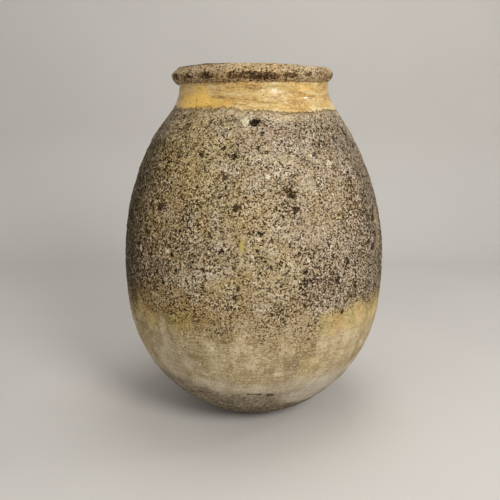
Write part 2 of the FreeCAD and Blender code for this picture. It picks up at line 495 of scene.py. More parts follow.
class Grain:
    """Noise over space, the same on every run, from one shuffled table of directions.

    Attributes:
        order: The shuffled table, three times over so that sums of two entries stay inside it.
        slopes: A direction for each entry, for the smooth noise.
        spots: A place inside a cell for each entry, for the scattered dents.
        draws: A number from 0 to 1 for each entry.
        TABLE: How many entries the table has.
        APART: How far one seed's clouds lie from the next one's, in lumps.
        OCTAVE_APART: How far one octave lies from the next.
        DENTS_APART: How far one seed's dents lie from the next one's, in cells.
    """

    TABLE = 256
    APART = 17.3
    OCTAVE_APART = 5.1
    DENTS_APART = 11.7

    def __init__(self, seed: int) -> None:
        """Draws the tables.

        Args:
            seed: Sets one grain apart from another.
        """
        draw = np.random.default_rng(seed)
        self.order = np.tile(draw.permutation(self.TABLE), 3)
        slopes = draw.normal(size=(3, self.TABLE))
        self.slopes = slopes / np.linalg.norm(slopes, axis=0)
        self.spots = draw.random((3, self.TABLE))
        self.draws = draw.random(self.TABLE)

    def entry(self, cells: Array, corner: tuple[int, int, int]) -> Array:
        """The table's entry for each cell of the grid, or for its neighbour at a corner."""
        x, y, z = ((cells[axis] + corner[axis]) % self.TABLE for axis in range(3))
        return self.order[self.order[self.order[x] + y] + z]

    def smooth(self, points: Array) -> Array:
        """Smooth noise with lumps about one unit across.

        Args:
            points: The places to test, their x, y and z in three rows.

        Returns:
            The noise at each place, of about -1 to 1.
        """
        base = np.floor(points).astype(int)
        inside = points - base
        ease = inside**3 * (inside * (inside * 6 - 15) + 10)
        share = (1 - ease, ease)
        total = np.zeros(points.shape[1])
        for corner in product((0, 1), repeat=3):
            entry = self.entry(base, corner)
            weight = share[corner[0]][0] * share[corner[1]][1] * share[corner[2]][2]
            slope = sum(self.slopes[axis][entry] * (inside[axis] - corner[axis]) for axis in range(3))
            total += weight * slope
        return total * 1.5

    def clouds(self, points: Array, size: float, octaves: int = 3, seed: int = 0) -> Array:
        """Smooth noise in several octaves.

        Args:
            points: The places to test, their x, y and z in three rows.
            size: The size of its largest lumps.
            octaves: How many times finer noise is added, each half as strong.
            seed: Sets one use apart from another.

        Returns:
            The noise at each place, of about -1 to 1.
        """
        total = np.zeros(points.shape[1])
        for octave in range(octaves):
            shift = self.APART * seed + self.OCTAVE_APART * octave
            total += self.smooth(points * (2**octave / size) + shift) / 2**octave
        return total

    def dents(
        self, points: Array, spacing: float, share: float, reach: float, ragged: Array, seed: int
    ) -> Array:
        """Scattered dents of different sizes.

        Args:
            points: The places to test, their x, y and z in three rows.
            spacing: About how far apart their middles could be.
            share: The share of those places that have one.
            reach: The greatest radius.
            ragged: Noise of about -1 to 1 that breaks up their edges.
            seed: Sets one scatter apart from another.

        Returns:
            The depth at each place, 1 in the middle of a dent and 0 outside.
        """
        scaled = points / spacing + self.DENTS_APART * seed
        base = np.floor(scaled).astype(int)
        depth = np.zeros(points.shape[1])
        for corner in product((-1, 0, 1), repeat=3):
            entry = self.entry(base, corner)
            middle = [base[axis] + corner[axis] + self.spots[axis][entry] for axis in range(3)]
            gap = np.sqrt(sum((middle[axis] - scaled[axis]) ** 2 for axis in range(3))) * spacing
            radius = reach * (0.35 + 0.65 * self.draws[entry] / share)
            here = 1.25 - gap / radius + 0.35 * ragged
            depth = np.where(self.draws[entry] < share, np.maximum(depth, here), depth)
        return rise(depth, 0, 1)


GRAIN = Grain(7)


@dataclass(frozen=True)
class Patch:
    """A stain or scar at one place of the jar's face.

    Attributes:
        azimuth: Degrees round from the front, positive to the right.
        height: The height of its middle.
        half_width: Half its width, round the jar.
        half_height: Half its height, along the face.
        strength: How strong it is in its middle.
        ragged: How far noise breaks up its edge, as a share of its size.
    """

    azimuth: float
    height: float
    half_width: float
    half_height: float
    strength: float = 1.0
    ragged: float = 0.5


def group(*rows: tuple[float, ...]) -> tuple[Patch, ...]:
    """Makes patches, each from its numbers in the order of Patch's attributes."""
    return tuple(Patch(*row) for row in rows)


OCHRE_PATCHES = group(
    (42, 0.305, 0.085, 0.034, 1.0),
    (30, 0.292, 0.045, 0.024, 0.6),
    (58, 0.300, 0.060, 0.045, 0.8),
    (25, 0.205, 0.035, 0.030, 0.5),
    (38, 0.235, 0.070, 0.040, 0.15),
    (-55, 0.316, 0.022, 0.034, 0.9),
    (-48, 0.290, 0.026, 0.024, 0.9),
    (-31, 0.318, 0.036, 0.026, 0.8),
    (150, 0.300, 0.120, 0.034, 0.9),
    (-130, 0.310, 0.080, 0.030, 0.8),
)
BLOOM_PATCHES = group(
    (34, 0.112, 0.096, 0.060, 1.05, 0.25),
    (16, 0.150, 0.060, 0.022, 0.5),
    (-34, 0.150, 0.040, 0.030, 0.4),
    (-38, 0.215, 0.060, 0.050, 0.35, 0.8),
    (-40, 0.300, 0.013, 0.050, 0.3, 0.7),
    (-120, 0.130, 0.090, 0.034, 0.8, 1.0),
    (165, 0.140, 0.070, 0.034, 0.7, 1.0),
)
SOOT_PATCHES = group(
    (29, 0.415, 0.065, 0.060, 1.0, 0.7),
    (0, 0.610, 0.080, 0.070, 0.25, 0.8),
    (20, 0.352, 0.070, 0.026, 0.6, 0.7),
    (38, 0.370, 0.060, 0.040, 0.55, 0.7),
    (44, 0.500, 0.060, 0.050, 0.5, 0.7),
    (47, 0.702, 0.080, 0.050, 0.25, 0.7),
    (34, 0.706, 0.050, 0.040, 0.15, 0.7),
    (52, 0.620, 0.060, 0.050, 0.4, 0.7),
    (-46, 0.430, 0.090, 0.070, 0.5, 0.7),
    (-24, 0.382, 0.045, 0.028, 0.8, 0.7),
    (-58, 0.610, 0.070, 0.090, 0.7, 0.7),
    (-38, 0.690, 0.050, 0.050, 0.6, 0.7),
    (12.6, 0.600, 0.022, 0.022, 1.0, 0.9),
    (10.8, 0.552, 0.020, 0.022, 0.9, 0.9),
    (56, 0.562, 0.030, 0.034, 1.2, 0.8),
    (110, 0.420, 0.110, 0.080, 0.8, 0.7),
    (165, 0.520, 0.100, 0.120, 0.7, 0.7),
    (-150, 0.400, 0.120, 0.060, 0.8, 0.7),
    (-115, 0.640, 0.080, 0.090, 0.7, 0.7),
)
OLIVE_PATCHES = group(
    (-34, 0.660, 0.100, 0.110, 1.0, 0.8),
    (-16, 0.570, 0.070, 0.070, 0.8, 0.8),
    (36, 0.570, 0.080, 0.070, 0.8, 0.8),
    (4, 0.430, 0.120, 0.060, 0.7, 0.8),
    (-45, 0.520, 0.060, 0.050, 0.6, 0.8),
    (130, 0.620, 0.110, 0.100, 0.9, 0.8),
    (-125, 0.480, 0.110, 0.080, 0.9, 0.8),
)
UMBER_PATCHES = group(
    (-50, 0.550, 0.180, 0.180, 0.8, 0.4),
    (-38, 0.705, 0.110, 0.080, 0.65, 0.4),
    (-13, 0.375, 0.080, 0.060, 0.7, 0.6),
    (-40, 0.330, 0.150, 0.070, 1.0, 0.4),
    (-2, 0.530, 0.070, 0.060, 0.4, 0.6),
    (150, 0.600, 0.150, 0.150, 0.7, 0.8),
    (-160, 0.340, 0.160, 0.080, 0.7, 0.8),
)
MAUVE_PATCHES = group(
    (48, 0.500, 0.190, 0.280, 0.80, 0.4),
    (16, 0.695, 0.080, 0.050, 0.8, 0.8),
    (34, 0.400, 0.090, 0.080, 1.0, 0.8),
    (-52, 0.425, 0.090, 0.060, 1.0, 0.8),
    (50, 0.690, 0.070, 0.060, 0.8, 0.8),
    (34, 0.620, 0.120, 0.110, 0.4, 0.8),
    (100, 0.400, 0.090, 0.070, 0.9, 0.8),
    (170, 0.560, 0.100, 0.090, 0.9, 0.8),
)
FRINGE_PATCHES = group(
    (-15, 0.746, 0.034, 0.026, 0.9, 0.7),
    (13, 0.744, 0.036, 0.030, 0.8, 0.6),
    (20, 0.741, 0.024, 0.020, 1.0, 0.6),
    (95, 0.748, 0.050, 0.030, 0.9, 0.6),
    (-140, 0.748, 0.060, 0.030, 0.9, 0.6),
)
PEPPER = group(
    (2.3, 0.508, 0.0066, 0.0066, 0.85, 0.8),
    (-15.3, 0.676, 0.0059, 0.0051, 0.85, 0.8),
    (-12.5, 0.475, 0.0051, 0.0047, 0.85, 0.8),
    (1.1, 0.475, 0.0047, 0.0043, 0.77, 0.8),
    (-11.6, 0.599, 0.0059, 0.0070, 0.68, 0.8),
    (-9.1, 0.661, 0.0055, 0.0051, 0.77, 0.8),
    (4.9, 0.708, 0.0043, 0.0039, 0.85, 0.8),
    (5.6, 0.687, 0.0043, 0.0043, 0.85, 0.8),
    (2.5, 0.675, 0.0043, 0.0043, 0.77, 0.8),
    (-4.3, 0.668, 0.0047, 0.0039, 0.77, 0.8),
    (-1.9, 0.512, 0.0043, 0.0039, 0.77, 0.8),
    (-13.8, 0.581, 0.0047, 0.0047, 0.68, 0.8),
    (-7.7, 0.440, 0.0047, 0.0047, 0.68, 0.8),
)
SALT = group(
    (38.5, 0.641, 0.0085, 0.0080, 0.75, 1.0),
    (28.2, 0.659, 0.0055, 0.0060, 0.75, 0.9),
    (6.0, 0.621, 0.0075, 0.0055, 0.7, 1.0),
    (-35.8, 0.463, 0.0060, 0.0060, 0.9, 0.6),
    (-53.2, 0.454, 0.0060, 0.0085, 0.9, 0.6),
    (9.7, 0.519, 0.0055, 0.0050, 0.8, 0.6),
    (35.3, 0.578, 0.0060, 0.0060, 0.8, 0.6),
    (-17, 0.258, 0.0075, 0.0060, 0.6, 1.0),
    (-24, 0.212, 0.0050, 0.0080, 0.5, 1.0),
)
MOSS_STREAK = Patch(-4.6, 0.486, 0.0056, 0.019, 1.0, 0.35)
LIME_PIT = Patch(1.0, 0.7292, 0.0130, 0.0095, 1.0, 0.30)
LIME_LUMP = Patch(-4.6, 0.7290, 0.0104, 0.0108, 1.0, 0.5)
FLAKES = group(
    (69, 0.500, 0.030, 0.028, 1.0, 0.5),
    (67, 0.452, 0.020, 0.022, 0.8, 0.5),
    (-152, 0.560, 0.034, 0.026, 1.0, 1.1),
    (118, 0.430, 0.030, 0.022, 0.9, 1.1),
)
GOUGES = group(
    (-0.2, 0.1290, 0.018, 0.0066, 0.6, 0.8),
    (7.2, 0.1260, 0.015, 0.0070, 0.62, 0.9),
    (112, 0.1600, 0.014, 0.0040, 0.7, 0.8),
)
RUNS = group(
    (16, 0.205, 0.012, 0.045, 0.30, 0.9),
    (-21, 0.240, 0.060, 0.045, 0.08, 0.9),
    (46, 0.700, 0.120, 0.080, 0.30, 0.5),
)


@dataclass(frozen=True)
class Ground:
    """A stretch of the jar's face, ready to be weathered.

    Attributes:
        points: The places of its vertices, their x, y and z in three rows.
        azimuth: Degrees round from the front, positive to the right.
        height: Their heights.
        radius: Their distances from the axis.
        slope: How far the face looks up, along z.
        PATCH_EDGE: Where a patch has faded out and where it is full, as shares of its size.
        LEAST_UPRIGHT: The square of the least upright share of a face that patches reckon with.
    """

    points: Array
    azimuth: Array
    height: Array
    radius: Array
    slope: Array

    PATCH_EDGE = (1.15, 0.55)
    LEAST_UPRIGHT = 0.05

    @classmethod
    def of(cls, rows: Array, ways: Array) -> "Ground":
        """Takes in a stretch of the face.

        Args:
            rows: The places of its vertices, a row to each.
            ways: The way out of the face at each.

        Returns:
            The ground.
        """
        x, y, z = rows.T
        azimuth = np.degrees(np.arctan2(x, -y))
        return cls(rows.T, azimuth, z, np.hypot(x, y), ways[:, 2])

    def patch(self, patch: Patch, roughness: Array) -> Array:
        """How strong a patch is at each place.

        Args:
            patch: The stain or scar.
            roughness: Noise of about -1 to 1 that breaks up its edge.

        Returns:
            Its strength, 0 outside it.
        """
        across = np.radians(turned(self.azimuth, patch.azimuth)) * self.radius / patch.half_width
        upright = np.sqrt(np.maximum(1 - self.slope**2, self.LEAST_UPRIGHT))
        along = (self.height - patch.height) / upright / patch.half_height
        distance = np.hypot(across, along) + patch.ragged * roughness
        return patch.strength * rise(distance, *self.PATCH_EDGE)

    def patches(self, group: tuple[Patch, ...], roughness: Array) -> Array:
        """The strongest of a group of patches at each place."""
        return np.max([self.patch(patch, roughness) for patch in group], axis=0)


@dataclass(frozen=True)
class Weather:
    """What a century out of doors does to the jar, and the shade painted down its sides and round its foot.

    The sides are bands of degrees round from the front: where each starts, is full, wanes and ends.

    Attributes:
        crust_foot: The height at which the crust gives out, but for its dips.
        crust_fade: How far up and down the crust thins out.
        glaze_foot: The mean height of the glaze's lower edge.
        sway: How far the hand-built wall strays from round.
        pinch: How much further the neck is drawn in on the left than on the right.
        ripple: The height of the wheel's ripples.
        ripple_pitch: How far apart they are.
        grit: The height of the crust's grit.
        bare_grit: The height of the bare clay's.
        plate: The thickness of the crust's plates.
        pit_depth: The depth of its small pits.
        crater_depth: The depth of its large ones.
        flake_depth: The depth of the flaked places.
        gouge_depth: The depth of the gouges.
        pepper_depth: The depth of the dark specks that stand alone.
        hole_depth: The depth of the one deep pit under the glaze.
        lump_height: The height of the pale lump beside it.
        calm_foot: The height below which the wear eases off, so that the jar stands level.
        ochre_width: How far from the crust's foot its ochre rim reaches.
        grime_and_shade_top: The height of the foot's dark edge, grimy and painted in shade, at the front.
        grime_and_shade_lift: How much higher it is on the left.
        grime_and_shade_fade: How far down it thickens.
        fringe_width: How far below the glaze its pale fringe reaches.
        DIPS: Where the crust reaches lower, by degrees round from the front: how far round, in degrees,
            and how deep.
        SHARP_SIDE: The side where the crust ends more sharply.
        SHADE_FILM_LEFT: The dark film of painted shade down the left limb.
        SHADE_FILM_RIGHT: Its fainter right side, painted shade at the right edge.
        SHADE_FILM_HEIGHTS: The band of heights that it keeps to.
        SOOT_AND_SHADE_LEFT: The left side, sooty and darkened with painted shade.
        SOOT_AND_SHADE_RIGHT: The right side, sooty and darkened with painted shade where the light falls
            off.
    """

    crust_foot: float = 0.323
    crust_fade: float = 0.073
    glaze_foot: float = 0.7525
    sway: float = 0.0014
    pinch: float = 0.0058
    ripple: float = 0.0004
    ripple_pitch: float = 0.034
    grit: float = 0.0006
    bare_grit: float = 0.00014
    plate: float = 0.0007
    pit_depth: float = 0.0014
    crater_depth: float = 0.0030
    flake_depth: float = 0.0024
    gouge_depth: float = 0.0028
    pepper_depth: float = 0.0016
    hole_depth: float = 0.0100
    lump_height: float = 0.0024
    calm_foot: float = 0.030
    ochre_width: float = 0.040
    grime_and_shade_top: float = 0.146
    grime_and_shade_lift: float = 0.022
    grime_and_shade_fade: float = 0.032
    fringe_width: float = 0.020

    DIPS = {
        14: (18, 0.033),
        -32: (4, 0.024),
        -14: (4, 0.026),
        23: (3.5, 0.022),
        3: (3, 0.012),
        58: (5, 0.020),
        97: (5, 0.024),
        132: (7, 0.030),
        171: (4, 0.024),
        -151: (6, 0.028),
        -118: (4, 0.020),
        -90: (5, 0.026),
    }
    SHARP_SIDE = (22, 44, 70, 100)
    SHADE_FILM_LEFT = (-108, -74, -64, -47)
    SHADE_FILM_RIGHT = (46, 62, 84, 118)
    SHADE_FILM_HEIGHTS = (0.285, 0.36, 0.62, 0.80)
    SOOT_AND_SHADE_LEFT = (-170, -90, -52, 4)
    SOOT_AND_SHADE_RIGHT = (26, 52, 110, 150)

    def glaze_edge(self, azimuth: Array) -> Array:
        """Runs the glaze's ragged lower edge round the jar.

        Args:
            azimuth: Degrees round from the front, positive to the right.

        Returns:
            The edge's height at each.
        """
        around = np.radians(azimuth)
        ring = np.stack([np.sin(around), np.cos(around), np.zeros(len(around))])
        drop = 0.0100 * bell(azimuth - 25, 20) + 0.0060 * band(azimuth, 25, 62, 100, 150)
        climb = 0.0060 * bell(azimuth + 19, 4) + 0.0034 * band(azimuth, -120, -80, -34, -18)
        slow = 0.0020 * GRAIN.clouds(ring, 0.22, 2, 5)
        torn = np.clip(0.0045 * GRAIN.clouds(ring, 0.055, 4, 6), -0.0030, 0.0035)
        frayed = 0.0012 * GRAIN.clouds(ring, 0.020, 2, 10)
        return self.glaze_foot + climb - drop + slow + torn + frayed

    def hand(self, ground: Ground) -> Array:
        """How far the hand-built wall stands out from the true outline.

        Args:
            ground: The stretch of the face.

        Returns:
            How far out each place lies.
        """
        left = rise(np.sin(np.radians(ground.azimuth)), 0.15, -0.75)
        upper = rise(ground.height, 0.68, 0.755)
        return self.sway * GRAIN.clouds(ground.points, 0.45, 2, 8) - self.pinch * left * upper

    def crust(self, ground: Ground) -> Array:
        """Grows the crust, down to its dips and drips.

        Args:
            ground: The stretch of the face.

        Returns:
            How thick the crust is at each place, from 0 to 1.
        """
        wander = 1.5 * GRAIN.clouds(ground.points, 0.030, 2, 12)
        dip = np.zeros(len(ground.azimuth))
        for azimuth, (spread, depth) in self.DIPS.items():
            dip += depth * bell(turned(ground.azimuth + wander, azimuth), spread)
        far_side = rise(np.abs(ground.azimuth), 70, 110)
        drift = 0.030 * far_side * GRAIN.clouds(ground.points, 0.25, 2, 1)
        ragged = 0.012 * GRAIN.clouds(ground.points, 0.045, 3, 2)
        drawn_out = ground.points * np.array([[1], [1], [0.2]])
        drips = 0.014 * GRAIN.clouds(drawn_out, 0.026, 3, 11)
        foot = self.crust_foot - dip + drift + ragged + drips
        sharp = band(ground.azimuth, *self.SHARP_SIDE)
        fade = self.crust_fade * (1 + 0.15 * rise(ground.azimuth, -8, -40) - 0.50 * sharp)
        return rise((ground.height - foot) / fade, -1, 1)

    def film(self, ground: Ground, coarse: Array) -> Array:
        """Paints shade as a dark film down both sides, and lays its stained runs.

        Args:
            ground: The stretch of the face.
            coarse: Noise that breaks up the runs.

        Returns:
            How thick the film is at each place, from 0 to 1.
        """
        # Painted shade: a dark film down the left limb and, fainter, the right edge, where the light falls
        # off.
        left = band(ground.azimuth, *self.SHADE_FILM_LEFT)
        right = 0.50 * band(ground.azimuth, *self.SHADE_FILM_RIGHT)
        film = np.maximum(left, right) * band(ground.height, *self.SHADE_FILM_HEIGHTS)
        return np.clip(film + ground.patches(RUNS, coarse), 0, 1)

    def soot(self, ground: Ground, coarse: Array, tint: Array) -> Array:
        """Settles sooty patches, and paints shade down the left side and the right edge, where the light
        falls off.

        Args:
            ground: The stretch of the face.
            coarse: Noise that breaks up the patches.
            tint: Slow noise that thins it out.

        Returns:
            How sooty each place is, with the painted shade, from 0 to 1.5.
        """
        # Painted shade: the left side and the right edge darken where the light falls off, more so lower
        # down.
        left = band(ground.azimuth, *self.SOOT_AND_SHADE_LEFT)
        right = band(ground.azimuth, *self.SOOT_AND_SHADE_RIGHT)
        shade = left * (0.40 + 0.60 * rise(ground.height, 0.72, 0.50))
        shade += right * (0.35 + 0.60 * rise(ground.height, 0.66, 0.50))
        soot = ground.patches(SOOT_PATCHES, coarse) * (0.8 + 0.4 * tint)
        soot = np.maximum(soot, shade * (0.9 + 0.5 * tint)) + 0.3 * np.minimum(soot, shade)
        return np.clip(soot, 0, 1.5)

    def ochre(self, ground: Ground, roughness: Array, tint: Array) -> Array:
        """Stains the jar with ochre, in patches and along the crust's foot.

        Args:
            ground: The stretch of the face.
            roughness: Noise that breaks up the patches.
            tint: Slow noise that breaks up the rim.

        Returns:
            How strong the ochre is at each place, from 0 to 1.
        """
        rim = bell(ground.height - self.crust_foot + 0.012, self.ochre_width)
        stained = ground.patches(OCHRE_PATCHES, roughness) + rim * rise(tint, 0.1, 0.7) * 0.4
        return np.clip(stained, 0, 1)

    def grime(self, ground: Ground, coarse: Array) -> Array:
        """Darkens the foot: grimy, and painted shade on the underside, which turns away from the light.

        Args:
            ground: The stretch of the face.
            coarse: Noise that breaks up its edge.

        Returns:
            How dark each place is, from 0 to 1.
        """
        # Painted shade, and grimy: darker towards the floor.
        ridge = self.grime_and_shade_top + self.grime_and_shade_lift * rise(ground.azimuth, -14, -36)
        reached = rise(ground.height + 0.006 * coarse, ridge, ridge - self.grime_and_shade_fade)
        return reached * (0.80 + 0.20 * rise(ground.height, 0.09, 0.05))

    def wear(self, rows: Array, ways: Array) -> tuple[Array, dict[Trace, Array]]:
        """Weathers a stretch of the jar's face.

        Args:
            rows: The places of its vertices.
            ways: The way out of the face at each.

        Returns:
            How far out each vertex moves, and the traces that the weather leaves, painted shade among them.
        """
        ground = Ground.of(rows, ways)
        points = ground.points
        coarse = GRAIN.clouds(points, 0.040, 3, 3)
        fine = GRAIN.clouds(points, 0.009, 2, 4)
        tint = GRAIN.clouds(points, 0.11, 2, 9)
        edge = self.glaze_edge(ground.azimuth)
        below_glaze = rise(ground.height, edge + 0.001, edge - 0.004)
        crust = self.crust(ground) * below_glaze
        bare = (1 - crust) * (0.3 + 0.7 * below_glaze)
        busy = np.clip(0.85 + 0.6 * GRAIN.clouds(points, 0.080, 2, 7), 0.2, 1.3)
        pits = GRAIN.dents(points, 0.0090, 0.45, 0.0040, fine, 1) * np.clip(crust * busy, 0, 1)
        craters = GRAIN.dents(points, 0.045, 0.35, 0.0085, fine + coarse, 2) * np.clip(crust + 0.1, 0, 1)
        flakes = ground.patches(FLAKES, coarse + 0.5 * fine)
        gouges = ground.patches(GOUGES, 0.7 * fine + 0.3 * coarse)
        pepper = ground.patches(PEPPER, fine + 0.5 * coarse)
        hole = ground.patch(LIME_PIT, fine)
        lump = ground.patch(LIME_LUMP, fine)
        ripples = np.sin(ground.height * 2 * math.pi / self.ripple_pitch + 2 * coarse)
        move = self.hand(ground)
        move += self.ripple * ripples * (0.4 + 0.6 * bare)
        move += self.grit * crust * (coarse * 0.9 + fine * 1.3) + self.bare_grit * bare * fine
        move += self.plate * crust * rise(coarse + 0.4 * fine, 0.05, 0.25)
        move -= self.pit_depth * pits + self.crater_depth * craters
        move -= self.flake_depth * flakes + self.gouge_depth * gouges + self.pepper_depth * pepper
        move -= self.hole_depth * hole - self.lump_height * lump
        move *= 0.25 + 0.75 * rise(ground.height, 0, self.calm_foot)
        blooms = ground.patches(BLOOM_PATCHES, coarse)
        low_bloom = 0.5 * rise(ground.height + 0.02 * tint, 0.190, 0.150)
        torn_height = ground.height + 0.007 * fine + 0.010 * coarse
        fringe = rise(torn_height, edge - self.fringe_width, edge - 0.004) * below_glaze
        traces = {
            Trace.CRUST: crust,
            Trace.PIT: np.clip(np.maximum(pits * 0.85, craters) + hole * 1.5 + gouges + pepper, 0, 1),
            Trace.OCHRE: self.ochre(ground, coarse + 0.3 * fine, tint),
            Trace.BLOOM: np.clip(np.maximum(blooms, low_bloom), 0, 1),
            Trace.LIME: np.maximum(lump, ground.patches(SALT, fine + 0.5 * coarse)),
            Trace.OLIVE: ground.patches(OLIVE_PATCHES, coarse),
            Trace.MAUVE: ground.patches(MAUVE_PATCHES, coarse),
            Trace.UMBER: ground.patches(UMBER_PATCHES, coarse),
            Trace.GRIME: self.grime(ground, coarse) * (1 - 0.75 * np.clip(blooms, 0, 1)),
            Trace.FILM: self.film(ground, coarse),
            Trace.SOOT: self.soot(ground, coarse, tint),
            Trace.FRINGE: fringe * np.maximum(ground.patches(FRINGE_PATCHES, coarse), 0.25),
            Trace.SCAR: np.clip(flakes, 0, 1),
            Trace.MOSS: ground.patch(MOSS_STREAK, fine),
        }
        return move, traces


# Finishes


class Graph:
    """Builds one material, or the world's air, node by node. A call returns the output of its node.

    Attributes:
        owner: The material or world.
        tree: Its nodes.
        spot: The object's own coordinates, on which its patterns lie.
        WOBBLE: How much finer the noise that bends a cell's edges is than the cells.
        PUSH: How far that noise bends them, as a share of their size.
        SPOT_EDGE: Where a spot's edge starts and where it is full, as shares of its cell's size.
    """

    WOBBLE = 1.6
    PUSH = 0.9
    SPOT_EDGE = (-0.04, 0.10)

    def __init__(self, owner: Material | bpy.types.World) -> None:
        """Empties a new material or world.

        Args:
            owner: The material or world.
        """
        owner.use_nodes = True
        self.owner = owner
        self.tree = owner.node_tree
        self.tree.nodes.clear()
        self.spot = self.node("ShaderNodeTexCoord").outputs["Object"]

    def node(self, kind: str, inputs: Inputs | None = None, **settings: object) -> Node:
        """Adds a node.

        Args:
            kind: The node's type.
            inputs: Its inputs by name or number, each a value or the output to link.
            **settings: Its own settings.

        Returns:
            The node.
        """
        made = self.tree.nodes.new(kind)
        for key, value in settings.items():
            setattr(made, key, value)
        for key, value in (inputs or {}).items():
            if isinstance(value, Socket):
                self.tree.links.new(value, made.inputs[key])
            else:
                made.inputs[key].default_value = value
        return made

    def trace(self, trace: Trace) -> Socket:
        """What the weather left, from the mesh's own attribute."""
        return self.node("ShaderNodeAttribute", attribute_name=trace.value).outputs["Fac"]

    def clouds(
        self,
        size: float,
        detail: float = 3,
        roughness: float = 0.5,
        stretch: Triple = (1, 1, 1),
        seed: float = 0,
    ) -> Socket:
        """Noise in lumps.

        Args:
            size: The size of its lumps.
            detail: How many times finer noise is added.
            roughness: How strong that finer noise is.
            stretch: How far the lumps are drawn out along each axis.
            seed: Sets one use apart from another.

        Returns:
            The noise, from 0 to 1.
        """
        apart = {"Location": (seed, seed, seed), "Scale": tuple(1 / share for share in stretch)}
        moved = self.node("ShaderNodeMapping", {"Vector": self.spot, **apart}).outputs[0]
        lumps = {"Scale": 1 / size, "Detail": detail, "Roughness": roughness}
        return self.node("ShaderNodeTexNoise", {"Vector": moved, **lumps}).outputs["Fac"]

    def cells(self, size: float, seed: float = 0) -> tuple[Socket, Socket]:
        """Uneven cells of about a size.

        Args:
            size: How far apart their middles are.
            seed: Sets one use apart from another.

        Returns:
            The distance from the nearest middle as a share of the size, and the cell's own number
            from 0 to 1.
        """
        wobble = {"Vector": self.spot, "Scale": self.WOBBLE / size, "Detail": 2}
        bent = self.node("ShaderNodeTexNoise", wobble).outputs["Color"]
        push = {0: bent, 1: (self.PUSH * size,) * 3, 2: self.spot}
        pushed = self.node("ShaderNodeVectorMath", push, operation="MULTIPLY_ADD").outputs[0]
        moved = self.node("ShaderNodeMapping", {"Vector": pushed, "Location": (seed, seed, seed)})
        made = self.node("ShaderNodeTexVoronoi", {"Vector": moved.outputs[0], "Scale": 1 / size})
        own = self.node("ShaderNodeSeparateColor", {"Color": made.outputs["Color"]})
        return made.outputs["Distance"], own.outputs[0]

    def spots(
        self, size: float, small: float, large: float, seed: float = 0, more: Number = 0.0
    ) -> Socket:
        """Scattered spots of mixed sizes.

        Args:
            size: How far apart their middles are.
            small: The least radius as a share of the size. Below 0, some cells have no spot.
            large: The greatest radius.
            seed: Sets one use apart from another.
            more: A number that is added to each radius.

        Returns:
            1 in the spots and 0 outside.
        """
        distance, own = self.cells(size, seed)
        radius = self.sum(self.step(own, 0, 1, small, large), more)
        return self.step(self.join("SUBTRACT", radius, distance), *self.SPOT_EDGE)

    def grains(self, own: Socket, dark: Triple, pale: Pair) -> Socket:
        """Sets dark and pale grains apart from the others.

        Args:
            own: Each grain's own number.
            dark: The share of the grains that are dark, the darkest one's shift and the last one's.
            pale: Where among the numbers the pale grains start, and the palest one's shift.

        Returns:
            How far each grain shifts the tone.
        """
        darker = self.step(own, 0, *dark)
        paler = self.step(own, pale[0], 1, 0, pale[1])
        return self.sum(darker, paler)

    def step(
        self, value: Number, low: float, high: float, bottom: float = 0, top: float = 1
    ) -> Socket:
        """A smooth step.

        Args:
            value: The value to test.
            low: Where the step starts. It may be the greater.
            high: Where it ends.
            bottom: What it gives up to its start.
            top: What it gives from its end on.

        Returns:
            The step's height.
        """
        limits = {"From Min": low, "From Max": high, "To Min": bottom, "To Max": top}
        made = self.node("ShaderNodeMapRange", {"Value": value, **limits}, interpolation_type="SMOOTHSTEP")
        return made.outputs["Result"]

    def sway(self, noise: Socket, amount: float) -> Socket:
        """A noise as a shift of a tone, by an amount either way."""
        return self.step(noise, 0.3, 0.7, -amount, amount)

    def join(self, how: str, *values: Number) -> Socket:
        """Joins numbers, one after the other.

        Args:
            how: The operation.
            *values: The numbers.

        Returns:
            The result.
        """
        total = values[0]
        for value in values[1:]:
            total = self.node("ShaderNodeMath", {0: total, 1: value}, operation=how).outputs[0]
        return total

    def sum(self, *values: Number) -> Socket:
        """Numbers added together."""
        return self.join("ADD", *values)

    def times(self, *values: Number) -> Socket:
        """Numbers multiplied together."""
        return self.join("MULTIPLY", *values)

    def blend(self, share: Number, under: Tint, over: Tint, how: str = "MIX") -> Socket:
        """One colour laid over another by a share, mixed or in another way."""
        inputs = {"Factor": share, "A": under, "B": over}
        return self.node("ShaderNodeMix", inputs, data_type="RGBA", blend_type=how).outputs["Result"]

    def ramp(self, value: Socket, stops: dict[float, Colour]) -> Socket:
        """A colour for a number, blended between stops.

        Args:
            value: The number.
            stops: The colours, each by its place from 0 to 1.

        Returns:
            The colour.
        """
        made = self.node("ShaderNodeValToRGB", {"Fac": value})
        points = made.color_ramp.elements
        for _ in range(len(stops) - len(points)):
            points.new(0.5)
        for point, place in zip(points, sorted(stops)):
            point.position = place
        for point, place in zip(points, sorted(stops)):
            point.color = stops[place]
        return made.outputs["Color"]

    def bump(
        self, height: Socket, distance: float, strength: Number, under: Socket | None = None
    ) -> Socket:
        """A surface's fine relief.

        Args:
            height: The noise that it follows.
            distance: Its height.
            strength: How strongly it shows.
            under: Another relief, which it lies on.

        Returns:
            The relief.
        """
        inputs = {"Height": height, "Distance": distance, "Strength": strength}
        if under is not None:
            inputs["Normal"] = under
        return self.node("ShaderNodeBump", inputs).outputs[0]

    def finish(self, colour: Socket, roughness: Number, normal: Socket, specular: float) -> Material:
        """Closes the material with its shader.

        Args:
            colour: The base colour.
            roughness: The roughness, a number or an output.
            normal: The relief.
            specular: The specular level, the same all over.

        Returns:
            The material.
        """
        look = {
            "Base Color": colour,
            "Roughness": roughness,
            "Normal": normal,
            "Specular IOR Level": specular,
        }
        shader = self.node("ShaderNodeBsdfPrincipled", look)
        self.node("ShaderNodeOutputMaterial", {"Surface": shader.outputs[0]})
        return self.owner

    def seen(self) -> Socket:
        """1 for what the eye sees, straight or in a reflection or through glass, and 0 for other light."""
        path = self.node("ShaderNodeLightPath").outputs
        kinds = ("Camera", "Glossy", "Transmission")
        return self.join("MAXIMUM", *(path[f"Is {kind} Ray"] for kind in kinds))


